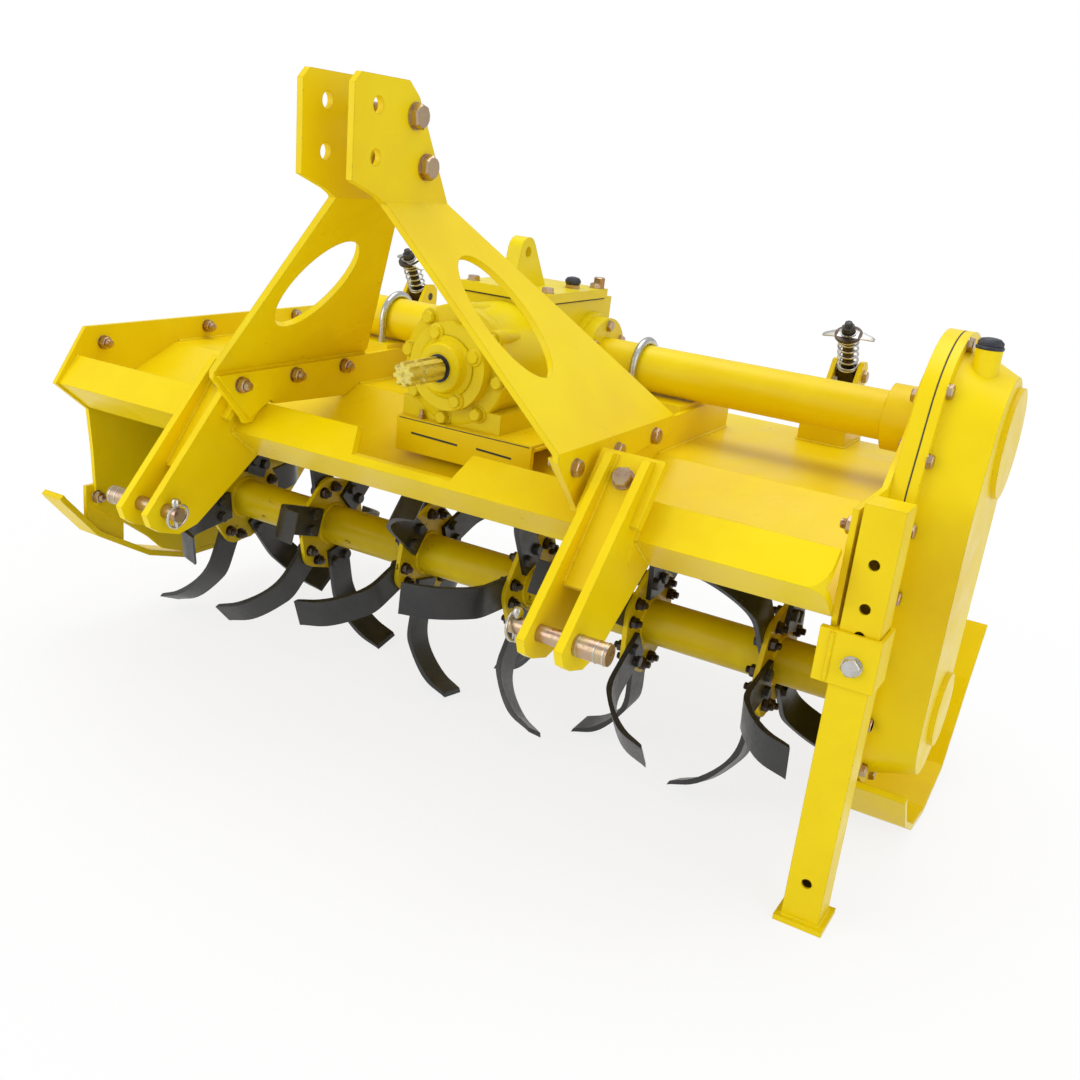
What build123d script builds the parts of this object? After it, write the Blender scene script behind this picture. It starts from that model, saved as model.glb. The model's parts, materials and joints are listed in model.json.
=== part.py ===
# Three-point-hitch rotary tiller with a side gear case, a tined rotor and a sprung levelling board.
# Frame: +X to the gear-case side, +Y to the rear, +Z up, the floor at Z = 0, millimetres.
import os
from math import atan2, cos, degrees, hypot, radians, sin, sqrt

from build123d import *

os.makedirs("parts", exist_ok=True)

# ---- driving dimensions ----
# rotor
floor_z = 26.0              # the floor, in the datum that the heights below are given in
blade_reach = 236.0         # rotor axis to blade tip; the tips stand on the floor
rotor_y = 15.0
rotor_tube_radius = 36.0
rotor_bore_radius = 28.0
flange_radius = 92.0
flange_thickness = 8.0
flange_count = 6
first_flange_from_left = 105.0
last_flange_from_right = 132.0
blade_thickness = 8.0
blade_width = 52.0
blade_leaf = 92.0           # leaf end beyond the flange face
blade_bend_share = 0.534    # where the straight shank ends, as a share of the reach
blade_inner_bend = ((0.695, 9.0), (0.824, 33.0), (0.916, 62.0))    # share of the reach, rise
blade_outer_bend = ((0.943, 57.0), (0.847, 27.0), (0.706, 1.5))
leaf_lean = 65.0            # degrees from the shank's line at the tip
blades_per_flange = 6
first_blade_turn = 67.0     # degrees below straight ahead, at the left flange
blade_step_turn = -23.3     # from one flange to the next
lobe_radius = 32.0
root_radius = 46.0
lobe_circle = 60.0
journal_radius = 20.0

# drive line
gear_x = 0.0              # centre plane of mast, hitch and gearbox
shaft_y = 84.0              # cross shaft behind the frame's origin
shaft_z = 645.0             # cross shaft and input shaft height
axle_tube_radius = 36.0
axle_tube_wall = 6.0
sleeve_radius = 48.0        # bearing sleeve at the gear-case end
sleeve_length = 54.0
tube_flange_radius = 88.0
tube_flange_thickness = 10.0
pto_radius = 17.5
pto_journal_radius = 15.0
pto_length = 86.0
pto_root_y = -232.0         # face of the front hub
gearbox_half_width = 75.0
gearbox_front_y = -66.0
gearbox_rear_y = 146.0
gearbox_top_z = 752.0
gearbox_cover_thickness = 14.0
front_cover_radius = 64.0
nose_radius = 86.0
front_cover_thickness = 22.0
hub_radius = 34.0
ear_y = -30.0
ear_height = 52.0
ear_radius = 22.0
ear_hole_radius = 8.0
lug_thickness = 24.0
side_cover_radius = 72.0
side_cover_thickness = 20.0

# hood
hood_left_x = -697.0        # inner face of the left side plate
hood_right_x = 620.0        # inner face of the right side plate
plate = 8.0                 # side plates
sheet = 5.0                 # hood sheet
deck_z = 551.0              # upper face of the flat deck
deck_front_y = -61.0
deck_rear_y = 325.0
hood_front_y = -253.0
hood_front_z = 465.9
hood_rear_y = 418.0
hood_rear_z = 466.0

# front beam
beam_corner = 26.0          # rounding of the nose at its right end
beam_thickness = 10.0
beam_nose_y = -320.0
beam_nose_z = 503.0
beam_top_y = -280.0
beam_top_z = 547.0
beam_tail_y = -260.0
beam_tail_z = 454.0
notch_bottom = 170.0
notch_top = 210.0
notch_depth = 34.0

# hitch
pin_half_spacing = 341.5
pin_y = -450.0
pin_z = 402.0
pin_radius = 11.0
pin_sleeve_radius = 14.0
sleeve_reach = 45.0
pin_half_length = 60.0
ear_gap = 40.0
ear_thickness = 12.0
clevis_pad_width = 90.0
mast_half_gap = 33.0
mast_plate = 9.0
top_hole_radius = 10.0
top_hole_y = -460.0
top_hole_z = 983.0
top_hole_pitch = 58.0
mast_top_z = top_hole_z + 33.0
mast_head_front_y = top_hole_y - 45.0
mast_head_rear_y = top_hole_y + 80.0
spacer_radius = 12.0
spacer_places = ((top_hole_y + 74.0, top_hole_z - 7.0), (top_hole_y + 103.0, top_hole_z - 64.0))
mast_foot_half = pin_half_spacing - 61.5
mast_foot_z = 604.0
mast_foot_front_y = -388.0
mast_foot_rear_y = -38.0
oval_y = -324.0
oval_width = 116.0
oval_height = 186.0
oval_lean = 10.0

# stand
leg_width = 50.0
leg_wall = 4.0
leg_gap = 5.6               # leg beside the right side plate
leg_y = -268.0              # front face of the leg
leg_top_z = 604.0
collar_wall = 5.0
collar_gap = 0.6
collar_height = 70.0
collar_bottom_z = 374.0
collar_ear = 16.0

# gear case
case_back = 20.0
case_gasket = 2.0
case_rim = 12.0
case_depth = 70.0
upper_case_y = 50.0
upper_case_radius = 138.0
idler_case_radius = 142.0
lower_case_radius = 135.0
idler_y = 24.0
idler_z = 560.0

# levelling board
board_hinge_gap = 14.0
board_sheet = 4.0
board_drop = 120.0
board_lip = 115.0
rod_radius = 9.0

rod_top = 96.0              # rod's end above the yoke pin
rod_eye_y = 493.0
rod_eye_z = 388.0
yoke_y = 330.0
yoke_z = 655.0
rod_places = (-434.0, 434.0)
trunnion_radius = 7.0
knuckle_radius = 10.0
knuckle_length = 30.0
hinge_pin_radius = 5.0

# small parts
case_flange = 16.0
case_wall = 6.0
case_draft = 30.0            # the crown shrinks by this and moves forward, so its front stays upright
case_boss_radius = 76.0
case_boss_height = 7.0
neck_radius = 17.0
neck_y = -2.0
neck_top_z = 771.0
skid_thickness = 10.0
skid_left_x = -745.0
skid_left_width = 48.0
skid_right_width = 111.0
base_thickness = 6.0
front_flange_y = -190.0
pto_seat = 30.0
left_tube_end = -372.0
u_bolt_radius = 6.0
saddle_z = 608.0
left_u_bolt_x = gear_x - mast_foot_half - 26.0
right_u_bolt_x = gear_x + mast_foot_half - 103.0
mast_bend_z = 872.0
foot_thickness = 8.0
leg_hole_radius = 7.0
leg_hole_heights = (90.0, 405.0, 441.0, 477.0, 533.0)

clearance = 1.0

# ---- derived places ----
rotor_z = floor_z + blade_reach
leg_x = hood_right_x + plate + leg_gap
skid_right_x = hood_right_x
hood_width = hood_right_x - hood_left_x
board_hinge_y = hood_rear_y + board_hinge_gap
board_hinge_z = hood_rear_z - sheet


def yz_plate(outline, x, thickness):
    """Extrude a closed outline of (y, z) points from x along +X."""
    face = make_face(Polyline(*[(y, z) for y, z in outline], close=True))
    return Pos(x, 0, 0) * extrude(Plane.YZ * face, amount=thickness)


def xz_plate(outline, y, thickness):
    """Extrude a closed outline of (x, z) points from y towards +Y."""
    face = make_face(Polyline(*[(x, z) for x, z in outline], close=True))
    return Pos(0, y, 0) * extrude(Plane.XZ * face, amount=-thickness)


def folded_strip(points, thickness):
    """Outline of a folded sheet: the points are its outer face, the thickness lies to their right."""
    inner = []
    for i, point in enumerate(points):
        before = points[max(i - 1, 0)]
        after = points[min(i + 1, len(points) - 1)]
        first = point if i == 0 else before
        last = point if i == len(points) - 1 else after
        a = atan2(point[1] - first[1], point[0] - first[0]) if i else atan2(last[1] - point[1], last[0] - point[0])
        b = atan2(last[1] - point[1], last[0] - point[0]) if i < len(points) - 1 else a
        middle = (a + b) / 2
        reach = thickness / cos((b - a) / 2)
        inner.append((point[0] + reach * sin(middle), point[1] - reach * cos(middle)))
    return list(points) + inner[::-1]


def x_cylinder(radius, x, length, y, z):
    return Pos(x, y, z) * Rot(0, 90, 0) * Cylinder(radius, length, align=(Align.CENTER, Align.CENTER, Align.MIN))


def y_cylinder(radius, y, length, x, z):
    return Pos(x, y, z) * Rot(-90, 0, 0) * Cylinder(radius, length, align=(Align.CENTER, Align.CENTER, Align.MIN))


def z_cylinder(radius, z, length, x, y):
    return Pos(x, y, z) * Cylinder(radius, length, align=(Align.CENTER, Align.CENTER, Align.MIN))


def block(x0, x1, y0, y1, z0, z1):
    return Pos(x0, y0, z0) * Box(x1 - x0, y1 - y0, z1 - z0, align=(Align.MIN, Align.MIN, Align.MIN))


def save(shape, name):
    """Write a piece, brought down from the datum so that the floor is at Z = 0."""
    solids = [Pos(0, 0, -floor_z) * solid for solid in shape.solids()]
    export_step(solids[0] if len(solids) == 1 else Compound(children=solids), "parts/" + name + ".step")



# ---- hood and beam ----
def hood():
    top_line = [
        (hood_front_y, hood_front_z),
        (deck_front_y, deck_z),
        (deck_rear_y, deck_z),
        (hood_rear_y, hood_rear_z),
    ]
    return yz_plate(folded_strip(top_line, sheet), hood_left_x, hood_width)


def front_beam():
    nose = [(beam_top_y, beam_top_z), (beam_nose_y, beam_nose_z), (beam_tail_y, beam_tail_z)]
    section = folded_strip(nose[::-1], beam_thickness)
    beam = yz_plate(section, hood_left_x, hood_width)
    z_low = beam_top_z - notch_depth
    z_high = beam_top_z + beam_thickness
    cut = [
        (gear_x - notch_bottom / 2, z_low),
        (gear_x + notch_bottom / 2, z_low),
        (gear_x + notch_top / 2, z_high),
        (gear_x - notch_top / 2, z_high),
    ]
    beam -= xz_plate(cut, beam_nose_y, beam_tail_y - beam_nose_y)
    # the right end of the nose is rounded in plan
    drop = beam_top_z - beam_tail_z + 2 * beam_thickness
    corner_x = hood_left_x + hood_width - beam_corner
    corner_y = beam_nose_y + beam_corner
    low = beam_tail_z - beam_thickness
    corner = block(corner_x, corner_x + beam_corner, beam_nose_y, corner_y, low, low + drop)
    return beam - (corner - z_cylinder(beam_corner, low, drop, corner_x, corner_y))


def side_plate_left():
    outline = [
        (-262, 593), (beam_nose_y - 6, beam_nose_z), (beam_tail_y, beam_tail_z - 4), (-252, 378), (-245, 270),
        (-125, 184), (-92, 154), (-30, 131.2), (148, 131.2), (250, 172), (345, 270), (436, 400), (437, 470), (336, 593),
    ]
    body = yz_plate(outline, hood_left_x - plate, plate)
    return body - x_cylinder(journal_radius + clearance, hood_left_x - plate, plate, rotor_y, rotor_z)


def side_plate_right():
    outline = [
        (beam_tail_y, beam_tail_z - 4), (-262, 470), (-262, 593), (-128, 593), (-70, 646), (-38, 684), (12, 727),
        (70, 768), (140, 774), (205, 740), (330, 593), (437, 470), (436, 400), (330, 190), (250, 76), (140, 44),
        (50, 60), (-15, 106), (-62, 168), (-150, 300), (-240, 400),
    ]
    body = yz_plate(outline, hood_right_x, plate)
    body -= x_cylinder(journal_radius + clearance, hood_right_x, plate, rotor_y, rotor_z)
    return body


# ---- gear case ----
def case_face(grow, forward=0.0):
    """The case outline, grown by one amount and its centres moved forward by another."""
    rings = [
        CenterArc((y - forward, z), radius + grow, 0, 360)
        for y, z, radius in (
            (upper_case_y, shaft_z, upper_case_radius),
            (idler_y, idler_z, idler_case_radius),
            (rotor_y, rotor_z, lower_case_radius),
        )
    ]
    return make_hull([edge for ring in rings for edge in ring.edges()])


def case_slab(grow, x, thickness):
    return Pos(x, 0, 0) * extrude(Plane.YZ * case_face(grow), amount=thickness)


def case_crown(foot, top, depth):
    """The dished part of the cover: the outline shrinks from foot to top over the depth."""
    start = case_rim_x + case_rim
    forward = (foot - top) * 0.8
    return loft([Plane.YZ.offset(start) * case_face(foot), Plane.YZ.offset(start + depth) * case_face(top, forward)])


case_back_x = hood_right_x + plate
case_gasket_x = case_back_x + case_back
case_rim_x = case_gasket_x + case_gasket


def gear_case_back():
    body = case_slab(0, case_back_x, case_back)
    return body - x_cylinder(journal_radius + clearance, case_back_x, case_back, rotor_y, rotor_z)


def gear_case_gasket():
    return case_slab(0, case_gasket_x, case_gasket) - case_slab(-16, case_gasket_x, case_gasket)


def gear_case_cover():
    rim = case_slab(0, case_rim_x, case_rim)
    crown = case_crown(-case_flange, -case_flange - case_draft, case_depth)
    hollow = case_crown(-case_flange - case_wall, -case_flange - case_draft - case_wall, case_depth - case_wall)
    mouth = case_slab(-case_flange - case_wall, case_rim_x, case_rim)
    cover = rim + crown - mouth - hollow
    face_x = case_rim_x + case_rim + case_depth
    cover += x_cylinder(case_boss_radius, face_x - case_wall, case_wall + case_boss_height, shaft_y - 30, shaft_z)
    cover += x_cylinder(case_boss_radius - 22, face_x - case_wall, case_wall + case_boss_height, rotor_y, rotor_z)
    neck = z_cylinder(neck_radius, shaft_z + 40, neck_top_z - shaft_z - 40, case_rim_x + case_rim + 30, neck_y)
    return cover + (neck - hollow)


# ---- skids ----
def skid(profile, x, width):
    return yz_plate(folded_strip(profile, skid_thickness), x, width)


def skid_left():
    profile = [(-324, 300), (-318, 292), (-245, 215), (-126, 148), (-36, 121), (150, 121), (262, 158)]
    lug = yz_plate([(-262, 236), (-180, 184), (-180, 262), (-238, 310), (-262, 310)], hood_left_x - 2 * plate, plate)
    return skid(profile[::-1], skid_left_x, skid_left_width) + lug


def skid_right():
    profile = [(-85, 151), (-66, 128), (-30, 86), (45, 44), (140, 29), (255, 58), (345, 184), (414, 262)]
    lug = yz_plate([(-94, 170), (-80, 152), (-45, 111), (-30, 90), (-22, 98), (-70, 150), (-106, 194)],
                   case_back_x, plate)
    return skid(profile[::-1], skid_right_x, skid_right_width) + lug


# ---- gearbox ----
def gearbox_base():
    top = block(gear_x - 85, gear_x + 150, -205, 170, deck_z, deck_z + base_thickness)
    front = block(gear_x - 85, gear_x + 150, -205, -197, deck_z - 46, deck_z)
    return top + front


def gearbox_housing():
    bottom = deck_z + base_thickness
    top = gearbox_top_z - gearbox_cover_thickness
    body = block(gear_x - gearbox_half_width, gear_x + gearbox_half_width,
                 gearbox_front_y, gearbox_rear_y, bottom, top)
    nose = y_cylinder(nose_radius, front_flange_y, gearbox_front_y - front_flange_y, gear_x, shaft_z)
    foot = block(gear_x - nose_radius, gear_x + nose_radius, front_flange_y, gearbox_front_y, bottom, bottom + 30)
    bosses = x_cylinder(side_cover_radius, gear_x - gearbox_half_width - 12, 2 * gearbox_half_width + 24,
                        shaft_y, shaft_z)
    room = block(gear_x - 200, gear_x + 200, front_flange_y, gearbox_rear_y, bottom, top)
    return body + foot + (room & (nose + bosses))


def gearbox_front_cover():
    flange = y_cylinder(front_cover_radius, front_flange_y - front_cover_thickness, front_cover_thickness,
                        gear_x, shaft_z)
    hub = y_cylinder(hub_radius, pto_root_y, front_flange_y - pto_root_y, gear_x, shaft_z)
    bore = y_cylinder(pto_journal_radius + clearance, pto_root_y, pto_seat, gear_x, shaft_z)
    return flange + hub - bore


def gearbox_top_cover():
    lid = block(gear_x - gearbox_half_width - 5, gear_x + gearbox_half_width + 5,
                gearbox_front_y - 5, gearbox_rear_y - 27, gearbox_top_z - gearbox_cover_thickness, gearbox_top_z)
    ear_z = gearbox_top_z + ear_height
    ring = make_hull(CenterArc((ear_y, ear_z), ear_radius, 0, 360).edges()
                     + Line((ear_y - 34, gearbox_top_z), (ear_y + 62, gearbox_top_z)).edges())
    ear = Pos(gear_x - lug_thickness / 2, 0, 0) * extrude(Plane.YZ * ring, amount=lug_thickness)
    hole = x_cylinder(ear_hole_radius, gear_x - lug_thickness / 2, lug_thickness, ear_y, ear_z)
    return lid + ear - hole


def side_cover(sign):
    x = gear_x + sign * (gearbox_half_width + 12)
    start = x if sign > 0 else x - side_cover_thickness
    return x_cylinder(side_cover_radius - 6, start, side_cover_thickness, shaft_y, shaft_z)


def pto_shaft():
    tail = y_cylinder(pto_radius, pto_root_y - pto_length, pto_length - clearance, gear_x, shaft_z)
    journal = y_cylinder(pto_journal_radius, pto_root_y - clearance, pto_seat, gear_x, shaft_z)
    return tail + journal


# ---- cross tube ----
tube_start = gearbox_half_width + 12 + side_cover_thickness


def axle_tube_right():
    start = gear_x + tube_start
    tube = x_cylinder(axle_tube_radius, start, hood_right_x - start, shaft_y, shaft_z)
    tube += x_cylinder(sleeve_radius, hood_right_x - sleeve_length, sleeve_length, shaft_y, shaft_z)
    tube += x_cylinder(tube_flange_radius, hood_right_x - tube_flange_thickness, tube_flange_thickness,
                       shaft_y, shaft_z)
    return tube - x_cylinder(axle_tube_radius - axle_tube_wall, start + 10, hood_right_x - start - 20,
                             shaft_y, shaft_z)


def axle_tube_left():
    end = gear_x - tube_start
    return x_cylinder(axle_tube_radius, left_tube_end, end - left_tube_end, shaft_y, shaft_z)


def u_bolt(x):
    reach = axle_tube_radius + u_bolt_radius + 0.2
    bend = Pos(x, shaft_y, shaft_z) * Rot(0, 90, 0) * Torus(reach, u_bolt_radius)
    bend &= block(x - 50, x + 50, shaft_y - 100, shaft_y + 100, shaft_z, shaft_z + 100)
    for side in (-1, 1):
        bend += z_cylinder(u_bolt_radius, saddle_z - 22, shaft_z - saddle_z + 22, x, shaft_y + side * reach)
    return bend


def tube_saddle(x0, x1, bolt_x):
    reach = axle_tube_radius + u_bolt_radius + 0.2
    top = block(x0, x1, shaft_y - 60, shaft_y + 60, saddle_z - plate, saddle_z)
    web = block(x0, x1, shaft_y - 60, shaft_y - 60 + plate, deck_z, saddle_z)
    angle = top + web
    for side in (-1, 1):
        angle -= z_cylinder(u_bolt_radius + 0.3, saddle_z - plate, plate, bolt_x, shaft_y + side * reach)
    return angle


# ---- mast ----
def mast_plate_right():
    inner = gear_x + mast_half_gap
    foot = gear_x + mast_foot_half
    fold = folded_strip(
        [(foot, mast_foot_z - 84), (foot, mast_foot_z), (inner, mast_bend_z), (inner, mast_top_z + 14)], mast_plate)
    strip = xz_plate(fold, mast_head_front_y - 15, mast_foot_rear_y - mast_head_front_y + 53)
    outline = yz_plate(
        [(mast_head_front_y, mast_top_z - 12), (mast_head_front_y + 12, mast_top_z),
         (mast_head_rear_y - 22, mast_top_z - 1), (mast_head_rear_y, mast_top_z - 18),
         (mast_head_rear_y + 78, mast_bend_z), (mast_foot_rear_y, mast_foot_z + 4),
         (mast_foot_rear_y, mast_foot_z - 20), (mast_foot_rear_y - 18, mast_foot_z - 24), (beam_tail_y, deck_z + 11),
         (beam_tail_y - 8, beam_top_z + 2), (beam_top_y + 1.5, beam_top_z + 2), (beam_nose_y + 4, beam_nose_z + 6.5),
         (beam_nose_y - 6, beam_nose_z + 25), (mast_foot_front_y, mast_foot_z - 8),
         (mast_foot_front_y, mast_foot_z + 4), (mast_foot_front_y - 48, mast_bend_z),
         (mast_foot_front_y - 67, mast_bend_z + 10), (mast_head_front_y + 3, mast_bend_z + 26)],
        inner - mast_plate, mast_foot_half)
    plate_right = strip & outline
    for row in (0, 1):
        plate_right -= x_cylinder(top_hole_radius, inner, mast_plate, top_hole_y, top_hole_z - row * top_hole_pitch)
    run = mast_foot_half - mast_half_gap
    fall = mast_bend_z - mast_foot_z
    slope = hypot(run, fall)
    plane = Plane(origin=(inner, 0, mast_bend_z), x_dir=(0, 1, 0), z_dir=(fall, 0, run))
    oval = Pos(oval_y, -slope * 0.48) * Rot(0, 0, oval_lean) * Ellipse(oval_width / 2, oval_height / 2)
    return plate_right - extrude(plane * oval, amount=3 * mast_plate, both=True)


def across(shape):
    """The same piece on the other side of the mast's centre plane."""
    return mirror(shape, about=Plane.YZ.offset(gear_x))


def mast_spacers():
    spacers = []
    for y, z in spacer_places:
        spacers.append(x_cylinder(spacer_radius, gear_x - mast_half_gap, 2 * mast_half_gap, y, z))
    return Compound(children=spacers)


def rail_right():
    outline = [(-275, 552), (-268, 545), (-95, 537), (deck_front_y, deck_z), (215, deck_z), (215, mast_foot_z),
               (mast_foot_rear_y, mast_foot_z - 4), (-384, mast_foot_z - 4), (-384, 598), (-318, 530), (-280, 549.5)]
    return yz_plate(outline, gear_x + mast_foot_half - plate, plate)


# ---- lower hitch ----
def hitch_clevis(x):
    outline = [(-486, 402), (-478, 382), (-461, 371), (-424, 360), (-388, 368), (beam_tail_y, beam_tail_z),
               (beam_nose_y, beam_nose_z), (beam_top_y, beam_top_z), (-264, 562), (-262, 592), (-302, 602)]
    ears = []
    for side in (-1, 1):
        start = x + side * (ear_gap / 2) - (ear_thickness if side < 0 else 0)
        ear = yz_plate(outline, start, ear_thickness)
        ears.append(ear - x_cylinder(pin_radius + 0.05, start, ear_thickness, pin_y, pin_z))
    web = yz_plate([(-402, 452), (-394, 446), (-276, 596), (-284, 602)], x - ear_gap / 2, ear_gap)
    pad = yz_plate([(-343, 527), (-335, 521), (-276, 596), (-284, 602)], x - clevis_pad_width / 2, clevis_pad_width)
    return ears[0] + ears[1] + web + pad


def hitch_pin(x, side):
    pin = x_cylinder(pin_radius, x - pin_half_length, 2 * pin_half_length, pin_y, pin_z)
    sleeve_start = x + side * (ear_gap / 2 + ear_thickness)
    sleeve = x_cylinder(pin_sleeve_radius, sleeve_start if side > 0 else sleeve_start - sleeve_reach, sleeve_reach,
                        pin_y, pin_z)
    return pin + sleeve


# ---- stand ----
def stand_leg():
    foot_top = floor_z + foot_thickness
    outer = block(leg_x, leg_x + leg_width, leg_y, leg_y + leg_width, foot_top, leg_top_z)
    inner = block(leg_x + leg_wall, leg_x + leg_width - leg_wall, leg_y + leg_wall, leg_y + leg_width - leg_wall,
                  foot_top, leg_top_z - leg_wall)
    tube = outer - inner
    for z in leg_hole_heights:
        tube -= y_cylinder(leg_hole_radius, leg_y, leg_width, leg_x + leg_width / 2, z)
    foot = block(leg_x - 8, leg_x + leg_width + 8, leg_y - 8, leg_y + leg_width + 8, floor_z, foot_top)
    return tube + foot


def leg_collar():
    gap = collar_gap
    x0 = leg_x - gap
    x1 = leg_x + leg_width + gap
    y0 = leg_y - gap
    y1 = leg_y + leg_width + gap
    top = collar_bottom_z + collar_height
    outer = block(x0 - collar_wall, x1 + collar_wall, y0 - collar_wall, y1 + collar_wall, collar_bottom_z, top)
    ear_x = x0 - collar_wall - collar_ear
    ear = block(ear_x, x0 - collar_wall, y0 - collar_wall, beam_tail_y - 3, collar_bottom_z, top)
    return outer + ear - block(x0, x1, y0, y1, collar_bottom_z, top)


# ---- rotor ----
def rotor_tube():
    start = hood_left_x + 25
    end = hood_right_x - 25
    tube = x_cylinder(rotor_tube_radius, start, end - start, rotor_y, rotor_z)
    tube -= x_cylinder(rotor_bore_radius, start + 30, end - start - 60, rotor_y, rotor_z)
    journal_start = hood_left_x - plate - 30
    journal_end = case_gasket_x - 2
    tube += x_cylinder(journal_radius, journal_start, start - journal_start, rotor_y, rotor_z)
    tube += x_cylinder(journal_radius, end, journal_end - end, rotor_y, rotor_z)
    return tube


def flange_places():
    first = hood_left_x + first_flange_from_left
    last = hood_right_x - last_flange_from_right
    pitch = (last - first) / (flange_count - 1)
    return [first + i * pitch for i in range(flange_count)]


def lobed_face():
    lobes = []
    for i in range(blades_per_flange):
        turn = radians(360 * i / blades_per_flange)
        lobes.append(CenterArc((lobe_circle * cos(turn), lobe_circle * sin(turn)), lobe_radius, 0, 360))
    return make_hull([edge for lobe in lobes for edge in lobe.edges()])


def blade_turn(row):
    return first_blade_turn + row * blade_step_turn


def rotor_flanges():
    rings = []
    for row, x in enumerate(flange_places()):
        ring = extrude(Plane.YZ * lobed_face(), amount=flange_thickness)
        ring -= x_cylinder(rotor_tube_radius, 0, flange_thickness, 0, 0)
        rings.append(Pos(x - flange_thickness / 2, rotor_y, rotor_z) * Rot(blade_turn(row), 0, 0) * ring)
    return Compound(children=rings)


def blade(side):
    """One tine with its root on the flange face at the origin: it points to -Y and bends towards side."""
    tip = sqrt(blade_reach ** 2 - (blade_width / 2) ** 2)
    bend = blade_reach * blade_bend_share
    leaf_slope = blade_thickness * sin(radians(leaf_lean))
    leaf_drop = blade_thickness * cos(radians(leaf_lean))
    lean = (sin(radians(90 - leaf_lean)), cos(radians(90 - leaf_lean)))
    near = [(blade_reach * share, rise) for share, rise in blade_inner_bend]
    far = [(blade_reach * share, rise) for share, rise in blade_outer_bend]
    inner_tip = (tip - leaf_slope, blade_leaf - leaf_drop)
    inner = Spline((bend, 0), *near, inner_tip, tangents=[(1, 0), lean])
    outer = Spline((tip, blade_leaf), *far, (bend, -blade_thickness), tangents=[(-lean[0], -lean[1]), (-1, 0)])
    loop = [
        Line((root_radius, 0), (bend, 0)),
        inner,
        Line(inner_tip, (tip, blade_leaf)),
        outer,
        Line((bend, -blade_thickness), (root_radius, -blade_thickness)),
        Line((root_radius, -blade_thickness), (root_radius, 0)),
    ]
    plane = Plane(origin=(0, 0, -blade_width / 2), x_dir=(0, -1, 0), z_dir=(0, 0, 1))
    bar = extrude(plane * make_face(Curve() + loop), amount=blade_width)
    if side > 0:
        return Pos(blade_thickness, 0, 0) * bar
    return Pos(-blade_thickness, 0, 0) * mirror(bar, about=Plane.YZ)


def rotor_blades():
    parts = []
    for row, x in enumerate(flange_places()):
        for i in range(blades_per_flange):
            side = 1 if i % 2 else -1
            turn = blade_turn(row) + 360 * i / blades_per_flange
            parts.append(Pos(x + side * flange_thickness / 2, rotor_y, rotor_z) * Rot(turn, 0, 0) * blade(side))
    return Compound(children=parts)


def bearing_left():
    x = hood_left_x - plate
    body = x_cylinder(54, x - 38, 38, rotor_y, rotor_z)
    return body - x_cylinder(journal_radius + clearance, x - 32, 32, rotor_y, rotor_z)


# ---- levelling board ----
def hinge_places():
    return [hood_left_x + 120, (hood_left_x + hood_right_x) / 2, hood_right_x - 120]


def hood_hinges():
    parts = []
    for x in hinge_places():
        for side in (-1, 1):
            centre = x + side * (knuckle_length + clearance)
            knuckle = x_cylinder(knuckle_radius, centre - knuckle_length / 2, knuckle_length,
                                 board_hinge_y, board_hinge_z)
            strap = yz_plate([(372, 508.2), (hood_rear_y, hood_rear_z), (432, 458), (432, 466), (420, 474), (375, 515)],
                             centre - knuckle_length / 2, knuckle_length)
            piece = knuckle + strap
            parts.append(piece - x_cylinder(hinge_pin_radius, centre - knuckle_length / 2, knuckle_length,
                                            board_hinge_y, board_hinge_z))
    return Compound(children=parts)


def hinge_pins():
    length = 3 * knuckle_length + 2 * clearance + 8
    return Compound(children=[
        x_cylinder(hinge_pin_radius, x - length / 2, length, board_hinge_y, board_hinge_z) for x in hinge_places()])


def levelling_board():
    start = (board_hinge_y + 12, board_hinge_z - 14)
    knee = (start[0] + 26, start[1] - board_drop)
    lip = (knee[0] + 34, knee[1] - board_lip)
    panel = yz_plate(folded_strip([start, knee, lip], board_sheet), hood_left_x + 12, hood_width - 24)
    for x in hinge_places():
        knuckle = x_cylinder(knuckle_radius, x - knuckle_length / 2, knuckle_length, board_hinge_y, board_hinge_z)
        strap = yz_plate(
            [(board_hinge_y + 4, board_hinge_z - 2), (board_hinge_y + 14, board_hinge_z - 8),
             (start[0] + 6, start[1] - 20), (start[0] - 1, start[1] - 20)],
            x - knuckle_length / 2, knuckle_length)
        panel += knuckle + strap
        panel -= x_cylinder(hinge_pin_radius + 0.5, x - knuckle_length / 2, knuckle_length,
                            board_hinge_y, board_hinge_z)
    for x in rod_places:
        for side in (-1, 1):
            panel += yz_plate(
                [(rod_eye_y - 12, rod_eye_z + 16), (rod_eye_y + 16, rod_eye_z + 4), (rod_eye_y + 12, rod_eye_z - 16),
                 (knee[0] - 5, knee[1] + 10), (start[0] + 8, rod_eye_z + 30)],
                x + side * 16 - 4, 8)
    return panel


# ---- spring rods ----
def rod_tilt():
    return degrees(atan2(rod_eye_y - yoke_y, yoke_z - rod_eye_z))


def along_rod(shape, x):
    """Carry a shape drawn on the Z axis to the rod whose yoke is at x."""
    return Pos(x, yoke_y, yoke_z) * Rot(rod_tilt(), 0, 0) * shape


def spring_rods():
    length = hypot(rod_eye_y - yoke_y, yoke_z - rod_eye_z)
    parts = []
    for x in rod_places:
        rod = Pos(0, 0, -length) * Cylinder(rod_radius, length + rod_top,
                                            align=(Align.CENTER, Align.CENTER, Align.MIN))
        washer = Pos(0, 0, rod_top - 16) * Cylinder(22, 4)
        eye = Pos(0, 0, -length) * Rot(0, 90, 0) * Cylinder(15, 20)
        piece = along_rod(rod + washer + eye, x)
        parts.append(piece - x_cylinder(7, x - 20, 40, rod_eye_y, rod_eye_z))
    return Compound(children=parts)


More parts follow.
